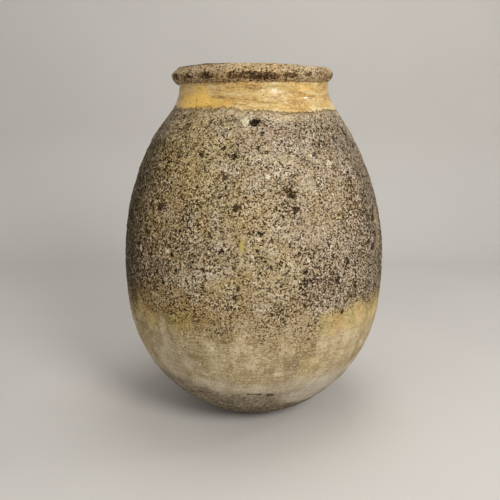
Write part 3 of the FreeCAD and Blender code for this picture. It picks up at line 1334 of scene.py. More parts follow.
@dataclass(frozen=True)
class WeatheredClay:
    """Old terracotta: bare and pale near the foot, under a dark speckled crust above.

    Attributes:
        grain_size: How far apart the grains are.
        clump_size: How far apart the crust's clumps of grains are.
        pale_spacing: How far apart the pale specks could be.
        dark_spacing: How far apart the dark specks could be.
        blot_spacing: How far apart the large dark spots could be.
        roughness: The roughness.
        specular: The specular level.
    """

    grain_size: float = 0.0026
    clump_size: float = 0.0040
    pale_spacing: float = 0.0052
    dark_spacing: float = 0.0045
    blot_spacing: float = 0.024
    roughness: float = 0.95
    specular: float = 0.12
    crust_black: Colour = paint(42, 27, 9)
    crust_brown: Colour = paint(113, 88, 50)
    crust_tan: Colour = paint(169, 153, 125)
    crust_cream: Colour = paint(199, 186, 164)
    crust_white: Colour = paint(230, 218, 196)
    speck_pale: Colour = paint(228, 213, 184)
    bare_dark: Colour = paint(146, 127, 94)
    bare_mid: Colour = paint(179, 161, 125)
    bare_light: Colour = paint(204, 188, 156)
    warm: Colour = (1.0, 0.97, 0.92, 1.0)
    mauve: Colour = (0.91, 0.895, 0.99, 1.0)
    umber: Colour = (1.02, 0.96, 0.80, 1.0)
    green: Colour = (0.98, 0.97, 0.84, 1.0)
    rust: Colour = (0.72, 0.63, 0.45, 1.0)
    ochre: Colour = paint(204, 178, 116)
    olive: Colour = paint(164, 146, 82)
    orange: Colour = paint(196, 150, 82)
    bloom: Colour = paint(202, 194, 179)
    # The film's colour: painted shade down the body's sides, and its runs.
    film: Colour = paint(38, 35, 24)
    fringe: Colour = paint(212, 190, 152)
    moss: Colour = paint(190, 174, 98)
    lime: Colour = paint(220, 208, 175)
    # The foot's dark: grimy clay, and painted shade on the underside.
    grime: Colour = paint(70, 57, 42)
    pit: Colour = paint(25, 16, 8)

    def bare(self, graph: Graph, grain: Socket, own: Socket) -> Socket:
        """The bare clay, clouded, with the wheel's fine lines round it and faint runs down it.

        Args:
            graph: The material that is being made.
            grain: The noise that clouds its grains.
            own: Each grain's own number.

        Returns:
            The bare clay's colour.
        """
        clouded = graph.sway(graph.clouds(0.045, 5, 0.6, seed=16), 0.13)
        lines = graph.sway(graph.clouds(0.0045, 3, 0.6, (11, 11, 0.8), 9), 0.10)
        runs = graph.sway(graph.clouds(0.024, 3, 0.5, (1, 1, 7), 3), 0.10)
        tone = graph.sum(grain, clouded, lines, runs, graph.step(own, 0, 1, -0.09, 0.09))
        return graph.ramp(tone, {0.30: self.bare_dark, 0.52: self.bare_mid, 0.72: self.bare_light})

    def crust(self, graph: Graph, grain: Socket, own: Socket, soot: Socket) -> Socket:
        """The crust, grains of cream, tan, brown and black, tinted in clouds.

        Args:
            graph: The material that is being made.
            grain: The noise that clouds its grains.
            own: Each grain's own number.
            soot: How sooty it is, with the shade painted on the sides.

        Returns:
            The crust's colour.
        """
        clouded = graph.sway(graph.clouds(0.050, 4, 0.6, seed=4), 0.06)
        runs = graph.sway(graph.clouds(0.026, 4, 0.55, (1, 1, 5), 33), 0.045)
        busy = graph.step(graph.clouds(0.036, 3, 0.6, seed=27), 0.36, 0.64, 0.40, 1.45)
        busy = graph.sum(busy, graph.times(soot, 0.55))
        single = graph.times(graph.grains(own, (0.36, -0.48, 0.04), (0.60, 0.24)), busy)
        _, clump = graph.cells(self.clump_size, 31)
        clumped = graph.grains(clump, (0.5, -0.20, 0.02), (0.6, 0.22))
        clumped = graph.times(clumped, graph.step(soot, 0, 1, 0.30, 1.0))
        # Darker where sooty, and where shade is painted on the sides.
        tone = graph.sum(grain, graph.sum(clouded, runs), graph.times(soot, -0.17), single, clumped)
        stops = {
            0.20: self.crust_black,
            0.36: self.crust_brown,
            0.50: self.crust_tan,
            0.76: self.crust_cream,
            0.94: self.crust_white,
        }
        warm = graph.step(graph.clouds(0.022, 4, 0.6, seed=28), 0.35, 0.65)
        colour = graph.blend(warm, graph.ramp(tone, stops), self.warm, "MULTIPLY")
        tints = {Trace.MAUVE: self.mauve, Trace.UMBER: self.umber, Trace.OLIVE: self.green}
        for trace, tint in tints.items():
            colour = graph.blend(graph.trace(trace), colour, tint, "MULTIPLY")
        return colour

    def rusted(self, graph: Graph, colour: Socket, cover: Socket) -> Socket:
        """Lets rust brown show where the crust is thin.

        Args:
            graph: The material that is being made.
            colour: What lies under the rust.
            cover: How thick the crust is.

        Returns:
            The rusted colour.
        """
        thin = graph.times(graph.step(cover, -0.05, 0.40), graph.step(cover, 1.15, 0.65))
        patchy = graph.step(graph.clouds(0.035, 4, 0.6, seed=17), 0.35, 0.6, 0.40, 0.90)
        warmer = graph.step(graph.trace(Trace.UMBER), 0, 1, 0.78, 1.15)
        return graph.blend(graph.times(thin, patchy, warmer), colour, self.rust, "MULTIPLY")

    def specks(self, graph: Graph, colour: Socket, cover: Socket, soot: Socket) -> Socket:
        """Scatters pale and dark specks, thick on the crust and thinning out below it.

        Args:
            graph: The material that is being made.
            colour: What lies under the specks.
            cover: How thick the crust is.
            soot: How sooty it is, with the shade painted on the sides.

        Returns:
            The speckled colour.
        """
        thick = graph.step(cover, -0.2, 0.8, -0.34, 0.0)
        thick = graph.sum(thick, graph.times(graph.trace(Trace.FRINGE), -0.12))
        pale = graph.spots(self.pale_spacing, -0.40, 0.29, 22, graph.sum(thick, graph.times(soot, 0.06)))
        colour = graph.blend(graph.times(pale, 0.8), colour, self.speck_pale)
        crowd = graph.step(graph.clouds(0.036, 3, 0.6, seed=27), 0.34, 0.66, -0.18, 0.16)
        dark_crowd = graph.sum(thick, graph.times(soot, 0.13), crowd)
        dark = graph.spots(self.dark_spacing, -0.24, 0.40, 23, dark_crowd)
        dark = graph.times(dark, graph.step(cover, 0.0, 0.7, 0.5, 0.88))
        colour = graph.blend(dark, colour, self.crust_black)
        blots = graph.spots(self.blot_spacing, -0.45, 0.22, 24, dark_crowd)
        blots = graph.times(blots, graph.step(cover, 0.6, 1.0, 0, 0.9))
        return graph.blend(blots, colour, self.crust_black)

    def stains(self, graph: Graph, colour: Socket, ragged: Socket, own: Socket) -> Socket:
        """Lays the weather's stains over a colour, one after the other; the film and the foot's dark are
        partly painted shade.

        Args:
            graph: The material that is being made.
            colour: What lies under the stains.
            ragged: The noise that breaks them up.
            own: Each grain's own number.

        Returns:
            The stained colour.
        """
        mottle = graph.step(ragged, 0.32, 0.6, 0.45, 0.9)
        hue = graph.clouds(0.05, 3, seed=13)
        yellow = graph.blend(graph.step(hue, 0.48, 0.66), self.ochre, self.olive)
        yellow = graph.blend(graph.step(hue, 0.44, 0.34), yellow, self.orange)
        layers = (
            (Trace.OCHRE, (mottle, graph.step(own, 0, 1, 0.40, 1.0)), yellow),
            (Trace.BLOOM, (mottle, 0.85), self.bloom),
            (Trace.FRINGE, (mottle,), self.fringe),
            (Trace.SCAR, (mottle, 0.6), self.fringe),
            # The film: painted shade down the sides, and stained runs.
            (Trace.FILM, (graph.step(ragged, 0.3, 0.65, 1.0, 0.55), 0.95), self.film),
            # The foot's dark: grimy, and painted shade on the underside.
            (Trace.GRIME, (graph.step(ragged, 0.3, 0.65, 1.1, 0.45),), self.grime),
            (Trace.MOSS, (mottle, 0.9), self.moss),
        )
        for trace, shares, stain in layers:
            colour = graph.blend(graph.times(graph.trace(trace), *shares), colour, stain)
        return colour

    def material(self) -> Material:
        """Makes the material: clay, crust, rust, stains and painted shade, specks, lime and pits, in that
        order.

        Returns:
            The material.
        """
        graph = Graph(bpy.data.materials.new("weathered_clay"))
        # Sooty patches, with painted shade on the sides.
        soot = graph.trace(Trace.SOOT)
        grain = graph.clouds(0.0030, 2, 0.5, seed=1)
        _, own = graph.cells(self.grain_size, 21)
        ragged = graph.clouds(0.0075, 3, 0.65, seed=11)
        cover = graph.sum(graph.trace(Trace.CRUST), graph.sway(ragged, 0.22))
        bare, crust = self.bare(graph, grain, own), self.crust(graph, grain, own, soot)
        scattered = graph.sum(cover, graph.step(own, 0, 1, 0.15, -0.15))
        colour = graph.blend(graph.step(scattered, 0.05, 0.95), bare, crust)
        colour = self.rusted(graph, colour, cover)
        colour = self.stains(graph, colour, ragged, own)
        colour = self.specks(graph, colour, cover, soot)
        lime = graph.sum(graph.trace(Trace.LIME), graph.sway(ragged, 0.25))
        lime = graph.times(graph.step(lime, 0.25, 0.75), graph.step(own, 0, 1, 0.6, 0.95))
        colour = graph.blend(lime, colour, self.lime)
        hollow = graph.sum(graph.trace(Trace.PIT), graph.sway(ragged, 0.25))
        colour = graph.blend(graph.step(hollow, 0.22, 0.75, 0, 0.94), colour, self.pit)
        rougher = graph.step(cover, 0, 1, 0.25, 0.75)
        relief = graph.bump(graph.clouds(0.0034, 4, 0.65, seed=14), 0.0012, rougher)
        relief = graph.bump(graph.clouds(0.0011, 3, 0.6, seed=15), 0.0004, 0.5, relief)
        return graph.finish(colour, self.roughness, relief, self.specular)


@dataclass(frozen=True)
class LipClay:
    """The lip: tan and rubbed on its crest, dark with lichen underneath.

    Attributes:
        grain_size: How far apart the grains are.
        roughness: The roughness.
        specular: The specular level.
    """

    grain_size: float = 0.0032
    roughness: float = 0.92
    specular: float = 0.2
    black: Colour = paint(46, 32, 17)
    brown: Colour = paint(112, 90, 60)
    tan: Colour = paint(166, 145, 111)
    cream: Colour = paint(210, 192, 158)
    warm: Colour = (1.03, 0.95, 0.84, 1.0)
    pit: Colour = paint(26, 20, 16)

    def material(self) -> Material:
        """Makes the material: clay darkened by lichen, warmed in clouds, and pitted.

        Returns:
            The material.
        """
        graph = Graph(bpy.data.materials.new("lip_clay"))
        ragged = graph.clouds(0.008, 4, 0.65, seed=3)
        lichen = graph.sum(graph.trace(Trace.FILM), graph.sway(ragged, 0.25))
        dark = graph.step(lichen, 0.10, 1.0, 0, -0.24)
        _, own = graph.cells(self.grain_size, 4)
        single = graph.grains(own, (0.30, -0.32, 0.02), (0.65, 0.10))
        clouded = graph.sway(graph.clouds(0.03, 4, 0.6, seed=1), 0.05)
        tone = graph.sum(graph.clouds(0.0036, 3, 0.6, seed=5), dark, single, clouded)
        colour = graph.ramp(tone, {0.20: self.black, 0.35: self.brown, 0.51: self.tan, 0.75: self.cream})
        warm = graph.step(graph.clouds(0.05, 3, 0.5, seed=2), 0.42, 0.62)
        colour = graph.blend(warm, colour, self.warm, "MULTIPLY")
        hollow = graph.sum(graph.trace(Trace.PIT), graph.sway(ragged, 0.2))
        colour = graph.blend(graph.step(hollow, 0.25, 0.8, 0, 0.85), colour, self.pit)
        relief = graph.bump(graph.clouds(0.0032, 4, 0.65, seed=7), 0.0012, 0.65)
        relief = graph.bump(graph.clouds(0.0011, 3, 0.6, seed=8), 0.0004, 0.5, relief)
        return graph.finish(colour, self.roughness, relief, self.specular)


@dataclass(frozen=True)
class NeckGlaze:
    """Worn yellow glaze on the outside of the neck, wiped round by hand.

    Attributes:
        specular: The specular level.
    """

    specular: float = 0.5
    brown: Colour = paint(156, 119, 66)
    ochre: Colour = paint(190, 153, 84)
    yellow: Colour = paint(206, 174, 108)
    cream: Colour = paint(218, 196, 150)
    orange: Colour = paint(255, 205, 96)
    green: Colour = paint(168, 146, 70)
    clay: Colour = paint(176, 144, 110)
    dirt: Colour = paint(72, 54, 34)

    def material(self) -> Material:
        """Makes the material: wiped glaze, its coloured patches, bare places, dirt, painted shade under the
        lip, and its gloss.

        Returns:
            The material.
        """
        graph = Graph(bpy.data.materials.new("neck_glaze"))
        wiped = graph.step(graph.clouds(0.0075, 4, 0.65, (6, 6, 1), 1), 0.25, 0.75, 0.27, 0.68)
        mottled = graph.step(graph.clouds(0.0034, 3, 0.65, (1.8, 1.8, 1), 2), 0.32, 0.68, -0.14, 0.14)
        slow = graph.sway(graph.clouds(0.035, 3, 0.5, (2, 2, 1), 3), 0.06)
        tone = graph.sum(wiped, mottled, slow)
        colour = graph.ramp(tone, {0.26: self.brown, 0.38: self.ochre, 0.52: self.yellow, 0.70: self.cream})
        orange = graph.times(graph.trace(Trace.OCHRE), graph.step(tone, 0.25, 0.62, 1.0, 0.70))
        green = graph.times(graph.trace(Trace.MOSS), graph.step(wiped, 0.40, 0.58), 0.75)
        bare = graph.step(graph.clouds(0.014, 4, 0.65, (3, 3, 1), 6), 0.60, 0.68, 0, 0.55)
        dashes = graph.step(graph.clouds(0.0036, 3, 0.6, (4, 4, 0.8), 7), 0.60, 0.70, 0, 0.75)
        specks = graph.step(graph.clouds(0.0036, 2, 0.6, (1.5, 1.5, 1), 8), 0.63, 0.71, 0, 0.85)
        # The film holds chips and the broken edge, and painted shade just under the lip.
        worn = graph.sum(graph.trace(Trace.FILM), graph.step(mottled, -0.08, 0.08, 0.3, -0.3))
        layers = (
            (orange, self.orange),
            (green, self.green),
            (bare, self.clay),
            (dashes, self.dirt),
            (specks, self.dirt),
            (graph.step(worn, 0.3, 0.85, 0, 0.8), self.dirt),
        )
        for share, over in layers:
            colour = graph.blend(share, colour, over)
        gloss = graph.trace(Trace.GLOSS)
        rough = graph.step(graph.clouds(0.01, 4, 0.6, (2, 2, 1), 9), 0.35, 0.65, 0.28, 0.60)
        rough = graph.times(rough, graph.step(gloss, 0, 1, 1.0, 0.30))
        uneven = graph.step(gloss, 0, 1, 1.0, 0.15)
        waves, grains = graph.clouds(0.009, 4, 0.6, (3, 3, 1), 10), graph.clouds(0.0022, 3, 0.6, seed=11)
        relief = graph.bump(waves, 0.0016, graph.times(uneven, 0.6))
        relief = graph.bump(grains, 0.0004, graph.times(uneven, 0.45), relief)
        return graph.finish(colour, rough, relief, self.specular)


@dataclass(frozen=True)
class InnerGlaze:
    """The glaze inside: honey brown, darker where it pooled and where dirt has settled.

    Attributes:
        specular: The specular level.
    """

    specular: float = 0.5
    honey: Colour = paint(176, 128, 60)
    amber: Colour = paint(128, 82, 34)
    cream: Colour = paint(200, 164, 104)
    dirt: Colour = paint(58, 45, 31)

    def material(self) -> Material:
        """Makes the material: clouded glaze, with pale runs, specks and settled dirt.

        Returns:
            The material.
        """
        graph = Graph(bpy.data.materials.new("inner_glaze"))
        pooled = graph.step(graph.clouds(0.09, 4, 0.6), 0.38, 0.62)
        runs = graph.step(graph.clouds(0.02, 4, 0.6, (1, 1, 8), 2), 0.52, 0.68, 0, 0.6)
        specks = graph.step(graph.clouds(0.006, 3, 0.65, seed=3), 0.62, 0.72, 0, 0.8)
        patchy = graph.step(graph.clouds(0.03, 4, 0.6, seed=4), 0.3, 0.6, 0.4, 1)
        colour = graph.blend(pooled, self.honey, self.amber)
        colour = graph.blend(runs, colour, self.cream)
        colour = graph.blend(specks, colour, self.dirt)
        colour = graph.blend(graph.times(graph.trace(Trace.FILM), patchy), colour, self.dirt)
        rough = graph.step(graph.clouds(0.014, 4, 0.6, seed=5), 0.35, 0.65, 0.22, 0.55)
        relief = graph.bump(graph.clouds(0.008, 4, 0.6, seed=6), 0.0012, 0.4)
        return graph.finish(colour, rough, relief, self.specular)


# Pieces of the jar


def dress(piece: Piece, material: Material, slot: Slot, *nodes: str) -> Piece:
    """Gives a piece its finish, and its place in the frame.

    Args:
        piece: The finished mesh.
        material: Its finish.
        slot: The record's slot for it; not used.
        *nodes: The nodes that it stands for.

    Returns:
        The piece.
    """
    piece.data.materials.append(material)
    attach(piece, "root")
    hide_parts(*nodes)
    LOG.info("%s: %d faces, for %s", piece.name, len(piece.data.polygons), ", ".join(nodes))
    return piece


def leave(piece: Piece, worn: Array, traces: dict[Trace, Array]) -> None:
    """Keeps the weather's traces on the worn vertices of a piece, and none on the others.

    Args:
        piece: The piece.
        worn: Whether the weather reaches each vertex.
        traces: The traces, a number to each worn vertex.
    """
    for trace, values in traces.items():
        kept = np.zeros(len(worn))
        kept[worn] = values
        keep(piece.data, trace.value, kept)


@dataclass
class Body:
    """The disc and the lifts that make the body and the neck.

    Attributes:
        outline: The jar's meridian.
        weather: What wears it.
        material: Its finish.
        step: The size of the faces that show.
        floor_step: The size of the faces under the disc.
        hidden_step: The size of the faces inside the wall.
        floor_wear: How far the weather reaches the underside.
        foot_turns: How many faces round the disc's lower edge.
    """

    outline: Meridian
    weather: Weather
    material: Material
    step: float = 0.0020
    floor_step: float = 0.003
    hidden_step: float = 0.020
    floor_wear: float = 0.5
    foot_turns: int = 5

    def wear(self, piece: Piece) -> None:
        """Weathers the faces of a piece that show.

        Args:
            piece: The piece, as it was turned.
        """
        mesh = piece.data
        rows = places(mesh)
        ways = looks(mesh, rows)
        share = read(mesh, "wear")
        worn = share > 0
        move, traces = self.weather.wear(rows[worn], ways[worn])
        rows[worn] += ways[worn] * (move * share[worn])[:, None]
        rows[:, 2] = np.maximum(rows[:, 2], 0)
        put(mesh, rows)
        leave(piece, worn, traces)

    def course(self, name: str, arc: Arc, low: float, high: float) -> Piece:
        """Raises one lift of the wall between two joints, with the slip on top of it.

        Args:
            name: The lift's node.
            arc: The arc of the meridian that it follows.
            low: The height of its lower joint.
            high: The height of its upper joint.

        Returns:
            The lift.
        """
        section = Section()
        section.arc(arc, low, high, 0, self.step, 1)
        section.arc(arc, high, low, self.outline.wall, self.hidden_step, 0)
        piece = turn(f"worn_{name}", section, self.step)
        self.wear(piece)
        return dress(piece, self.material, Slot.CLAY, name, "luting_slip")

    def disc(self) -> Piece:
        """Makes the disc that the jar stands on, with its edge turned up to the first lift.

        Returns:
            The disc.
        """
        outline, bowl = self.outline, self.outline.bowl
        rounding = outline.foot_round
        reach = bowl.radius - rounding
        meet = math.asin((rounding - bowl.centre_z) / reach)
        foot = Arc(bowl.centre_r + reach * math.cos(meet), rounding, rounding, 1)
        section = Section()
        section.line((0, 0), (foot.centre_r, 0), self.floor_step, self.floor_wear)
        for index in range(1, self.foot_turns):
            angle = -math.pi / 2 + (meet + math.pi / 2) * index / self.foot_turns
            section.add(foot.place(angle, 0), foot.look(angle), self.floor_wear)
        section.arc(bowl, bowl.place(meet, 0)[1], outline.base_thickness, 0, self.step, 1)
        back = bowl.place(bowl.angle(outline.base_thickness), outline.wall)
        section.line(back, (0, outline.base_thickness), self.hidden_step, 0)
        piece = turn("worn_base_disc", section, self.step)
        self.wear(piece)
        return dress(piece, self.material, Slot.CLAY, "base_disc")

    def build(self) -> None:
        """Makes the disc and every lift, from the foot up."""
        outline = self.outline
        self.disc()
        self.course("foot_course", outline.bowl, outline.base_thickness, outline.foot_joint)
        self.course("bowl_course", outline.bowl, outline.foot_joint, outline.bowl_top)
        self.course("belly_course", outline.belly, outline.bowl_top, outline.belly_height)
        joints = [outline.shoulder_joint(lifts) for lifts in range(outline.shoulder_lifts + 1)]
        names = ("upper_belly_course", "lower_shoulder_course", "upper_shoulder_course")
        for name, low, high in zip(names, joints, joints[1:]):
            self.course(name, outline.shoulder, low, high)
        self.course("neck_collar", outline.neck, outline.shoulder_top, outline.lip_base)


@dataclass
class Lip:
    """The roll of clay round the mouth, pressed unevenly by hand.

    Attributes:
        outline: The jar's meridian.
        material: Its finish.
        step: The size of its faces.
        hidden_step: The size of the faces in the throat, which the glaze covers.
        rubbed: How far its outer edge is rubbed down on the left.
        unevenness: The height of the hand's lumps along it.
        grit: The height of its grit.
        pit_depth: The depth of its small pits.
        crater_depth: The depth of its large ones.
        CREST: How far its top is pressed down, in millimetres, by degrees round from the front.
        UNDERSIDE: How far its underside is pressed up.
        LICHEN: The dark growths under its edge.
    """

    outline: Meridian
    material: Material
    step: float = 0.0017
    hidden_step: float = 0.004
    rubbed: float = 0.0022
    unevenness: float = 0.0008
    grit: float = 0.0006
    pit_depth: float = 0.0013
    crater_depth: float = 0.0026

    CREST = {-150: 2, -90: 4, -55: 3, -35: 0.5, -10: 0.5, 10: 2, 30: 3.5, 50: 6, 75: 5.5, 110: 3, 160: 1}
    UNDERSIDE = {-150: 2, -90: 0.5, -70: 2, -50: 4.5, -20: 4, 10: 3.5, 40: 3, 80: 2.5, 140: 1}
    LICHEN = group(
        (-66, 0.822, 0.024, 0.012, 0.7, 0.7),
        (-50, 0.820, 0.026, 0.008, 0.8, 0.7),
        (-28, 0.823, 0.020, 0.012, 0.8, 0.8),
        (-14, 0.822, 0.014, 0.010, 0.8, 0.8),
        (-2, 0.821, 0.030, 0.010, 1.0, 0.7),
        (12, 0.820, 0.032, 0.010, 1.0, 0.7),
        (25, 0.821, 0.026, 0.010, 0.9, 0.7),
        (39, 0.826, 0.011, 0.010, 0.5, 0.8),
        (52, 0.828, 0.014, 0.012, 0.4, 0.8),
        (78, 0.828, 0.024, 0.014, 0.6, 0.8),
        (105, 0.822, 0.050, 0.012, 0.9, 0.8),
        (150, 0.820, 0.060, 0.011, 0.8, 0.8),
        (-105, 0.822, 0.040, 0.012, 0.9, 0.8),
        (-145, 0.821, 0.050, 0.010, 0.8, 0.8),
    )

    def press(self, azimuth: Array, marks: dict[int, float]) -> Array:
        """How far the hand pressed the lip at each place, eased from mark to mark."""
        return np.interp(azimuth, list(marks), list(marks.values()), period=360) / 1000

    def section(self) -> Section:
        """Draws the roll: half round outside, eased over into the throat.

        Returns:
            The roll's section.
        """
        outline = self.outline
        half, crest, ease = outline.lip_half, outline.lip_crest, outline.mouth_ease
        middle = outline.lip_base + half
        overhang = outline.lip_radius - outline.throat_radius
        under = (overhang**2 + half**2) / (2 * overhang)
        section = Section()
        below = Arc(outline.lip_radius - under, middle, under, 1)
        section.arc(below, outline.lip_base, middle, 0, self.step, 1)
        section.arc(Arc(crest, middle, half, 1), middle, outline.height, 0, self.step, 1)
        inner = Arc(crest, outline.height - ease, ease, 1)
        count = math.ceil(ease * math.pi / 2 / self.step)
        for index in range(1, count + 1):
            angle = math.pi / 2 * (1 + index / count)
            section.add(inner.place(angle, 0), inner.look(angle), 1)
        throat = (outline.bore, outline.height - ease)
        section.line(throat, (outline.bore, outline.lip_base), self.hidden_step, 0)
        return section

    def build(self) -> Piece:
        """Rolls the lip, unevenly, and wears it.

        Returns:
            The lip.
        """
        outline = self.outline
        piece = turn("worn_rolled_lip", self.section(), self.step)
        mesh = piece.data
        rows = places(mesh)
        ways = looks(mesh, rows)
        share = read(mesh, "wear")
        worn = share > 0
        ground = Ground.of(rows[worn], ways[worn])
        points = ground.points
        coarse = GRAIN.clouds(points, 0.040, 3, 21)
        fine = GRAIN.clouds(points, 0.010, 2, 22)
        pits = GRAIN.dents(points, 0.010, 0.45, 0.0042, fine, 23)
        craters = GRAIN.dents(points, 0.045, 0.35, 0.0075, fine + coarse, 24)
        left = rise(np.sin(np.radians(ground.azimuth)), 0.4, -0.6)
        move = self.unevenness * GRAIN.clouds(points, 0.12, 2, 25)
        move += self.grit * coarse + self.grit * fine
        move -= self.pit_depth * pits + self.crater_depth * craters
        move -= self.rubbed * left * band(ground.slope, 0.15, 0.6, 0.85, 1.0)
        up = (ground.height - outline.lip_base) / (outline.height - outline.lip_base)
        rows[worn] += ways[worn] * (move * share[worn])[:, None]
        rows[worn, 2] -= self.press(ground.azimuth, self.CREST) * rise(up, 0.30, 0.95)
        rows[worn, 2] += self.press(ground.azimuth, self.UNDERSIDE) * rise(up, 0.70, 0.05)
        put(mesh, rows)
        outside = rise(ground.radius, outline.throat_radius - 0.01, outline.throat_radius)
        patchy = GRAIN.clouds(points, 0.07, 3, 26)
        lichen = ground.patches(self.LICHEN, coarse) + 0.25 * rise(ground.slope, 0.5, -0.2) * (1 + patchy)
        crest = band(ground.azimuth, -150, -90, -30, -8) + 0.6 * rise(patchy, 0.1, 0.5)
        crest *= 0.8 * rise(ground.slope, 0.80, 0.97)
        traces = {
            Trace.PIT: np.clip(np.maximum(pits, craters), 0, 1),
            Trace.FILM: np.clip(np.maximum(lichen * outside, crest), 0, 1),
        }
        leave(piece, worn, traces)
        return dress(piece, self.material, Slot.LIP, "rolled_lip")


@dataclass
class NeckCoat:
    """The coat of glaze round the neck, with its ragged lower edge.

    Attributes:
        outline: The jar's meridian.
        weather: What wears it, and where its edge runs.
        material: Its finish.
        step: The size of its faces.
        back_rows: How many rows of its face one row of its back takes up.
        tuck: How far it runs up behind the lip.
        neck_flare: How much wider than the throat the coat is in the mean.
        seat: How far its face stands off the clay even at its edge.
        sink: How far its back lies in the clay.
        smear: The height of the brush marks.
        grit: The height of its grit.
        chip_depth: The depth of its chips.
        ORANGE: Where the glaze is thick and orange.
        GLOSS: Where it has kept its gloss.
        GREEN: Where it is green.
    """

    outline: Meridian
    weather: Weather
    material: Material
    step: float = 0.0016
    back_rows: int = 6
    tuck: float = 0.009
    neck_flare: float = 0.02
    seat: float = 0.0004
    sink: float = 0.0006
    smear: float = 0.0006
    grit: float = 0.00025
    chip_depth: float = 0.0007

    ORANGE = group(
        (-46, 0.771, 0.066, 0.020, 1.0, 0.22),
        (-42, 0.795, 0.036, 0.014, 0.6, 0.4),
        (-58, 0.785, 0.020, 0.020, 0.6),
        (38, 0.797, 0.025, 0.006, 0.35),
        (-22, 0.765, 0.034, 0.012, 0.45, 0.4),
        (140, 0.780, 0.060, 0.020, 0.7, 0.9),
        (-150, 0.770, 0.040, 0.016, 0.6, 0.9),
    )
    GLOSS = group(
        (38.6, 0.776, 0.008, 0.020, 1.0, 0.2),
        (36.0, 0.762, 0.004, 0.005, 0.8, 0.5),
        (14.5, 0.793, 0.010, 0.005, 0.5, 0.9),
        (120, 0.786, 0.012, 0.005, 0.5, 0.9),
        (-135, 0.785, 0.012, 0.005, 0.5, 0.9),
    )
    GREEN = group(
        (17, 0.800, 0.045, 0.008, 0.9),
        (30, 0.762, 0.030, 0.010, 0.5),
        (-120, 0.795, 0.050, 0.012, 0.8),
    )

    @property
    def top(self) -> float:
        """The height of the coat's hidden upper edge."""
        return self.outline.lip_base + self.tuck

    def blank(self) -> Piece:
        """Turns the coat as a plain upright band, to be laid on the neck.

        Returns:
            The band, whose vertices keep their share of the way up as look_z.
        """
        outline = self.outline
        low = self.weather.glaze_foot
        bend = outline.neck.angle(outline.lip_base) - outline.neck.angle(outline.shoulder_top)
        length = outline.neck_curve * bend + (outline.shoulder_top - low) + self.tuck
        count = math.ceil(length / self.step)
        section = Section()
        sides = (
            (outline.belly_radius, 1, range(count + 1)),
            (outline.belly_radius - outline.glaze, 0, range(count, -1, -self.back_rows)),
        )
        for radius, wear, rows in sides:
            for row in rows:
                section.add((radius, low + (self.top - low) * row / count), (1, row / count), wear)
        widening = outline.belly_radius / (outline.throat_radius + self.neck_flare)
        return turn("worn_neck_glaze", section, self.step * widening)

    def build(self) -> Piece:
        """Brushes the coat on, breaks its edge and wears it.

        Returns:
            The coat.
        """
        outline = self.outline
        piece = self.blank()
        mesh = piece.data
        rows = places(mesh)
        up = read(mesh, "look_z")
        outside = read(mesh, "wear") > 0
        azimuth = np.degrees(np.arctan2(rows[:, 0], -rows[:, 1]))
        edge = self.weather.glaze_edge(azimuth)
        height = edge + (self.top - edge) * up
        radius, look_r, look_z = self.face(height)
        around = np.stack([np.sin(np.radians(azimuth)), -np.cos(np.radians(azimuth))], axis=1)
        base = np.column_stack([around * radius[:, None], height])
        ways = np.column_stack([around * look_r[:, None], look_z])
        ground = Ground.of(base, ways)
        points = ground.points
        squeezed = points * np.array([[1], [1], [3]])
        coarse = GRAIN.clouds(points, 0.030, 3, 34)
        chips = GRAIN.dents(points, 0.020, 0.40, 0.0034, coarse, 33)
        coat = outline.glaze * rise(up, -0.02, 0.10)
        smear = self.smear * GRAIN.clouds(squeezed, 0.05, 3, 31)
        smear += self.grit * GRAIN.clouds(points, 0.012, 2, 32)
        lift = np.where(outside, self.seat + coat + smear - self.chip_depth * chips, -self.sink)
        put(mesh, base + ways * (lift + self.weather.hand(ground))[:, None])
        # Painted shade: a dark line on the glaze just under the lip.
        shade_under_lip = rise(height + 0.003 * coarse, outline.lip_base - 0.001, outline.lip_base + 0.005)
        broken = rise(up + 0.05 * coarse, 0.085, 0.02)
        brushed = 0.6 * coarse + GRAIN.clouds(squeezed, 0.040, 3, 35)
        traces = {
            Trace.OCHRE: ground.patches(self.ORANGE, brushed),
            Trace.MOSS: ground.patches(self.GREEN, coarse),
            Trace.GLOSS: ground.patches(self.GLOSS, coarse),
            Trace.FILM: np.clip(0.8 * chips + 0.6 * shade_under_lip + 0.9 * broken, 0, 1),
        }
        leave(piece, np.full(len(up), True), traces)
        return dress(piece, self.material, Slot.GLAZE, "neck_glaze")

    def face(self, height: Array) -> tuple[Array, Array, Array]:
        """Follows the clay of the upper shoulder, the neck and the throat.

        Args:
            height: The heights to test.

        Returns:
            The clay's radius at each, and the way out of its face, along r and along z.
        """
        outline = self.outline
        radius = np.full(len(height), outline.throat_radius)
        look_r, look_z = np.ones(len(height)), np.zeros(len(height))
        stretches = (
            (outline.shoulder, 0, outline.shoulder_top),
            (outline.neck, outline.shoulder_top, outline.lip_base),
        )
        for arc, low, high in stretches:
            here = (height >= low) & (height < high)
            angle = np.arcsin((height[here] - arc.centre_z) / arc.radius)
            radius[here] = arc.centre_r + arc.swell * arc.radius * np.cos(angle)
            look_r[here], look_z[here] = np.cos(angle), arc.swell * np.sin(angle)
        return radius, look_r, look_z


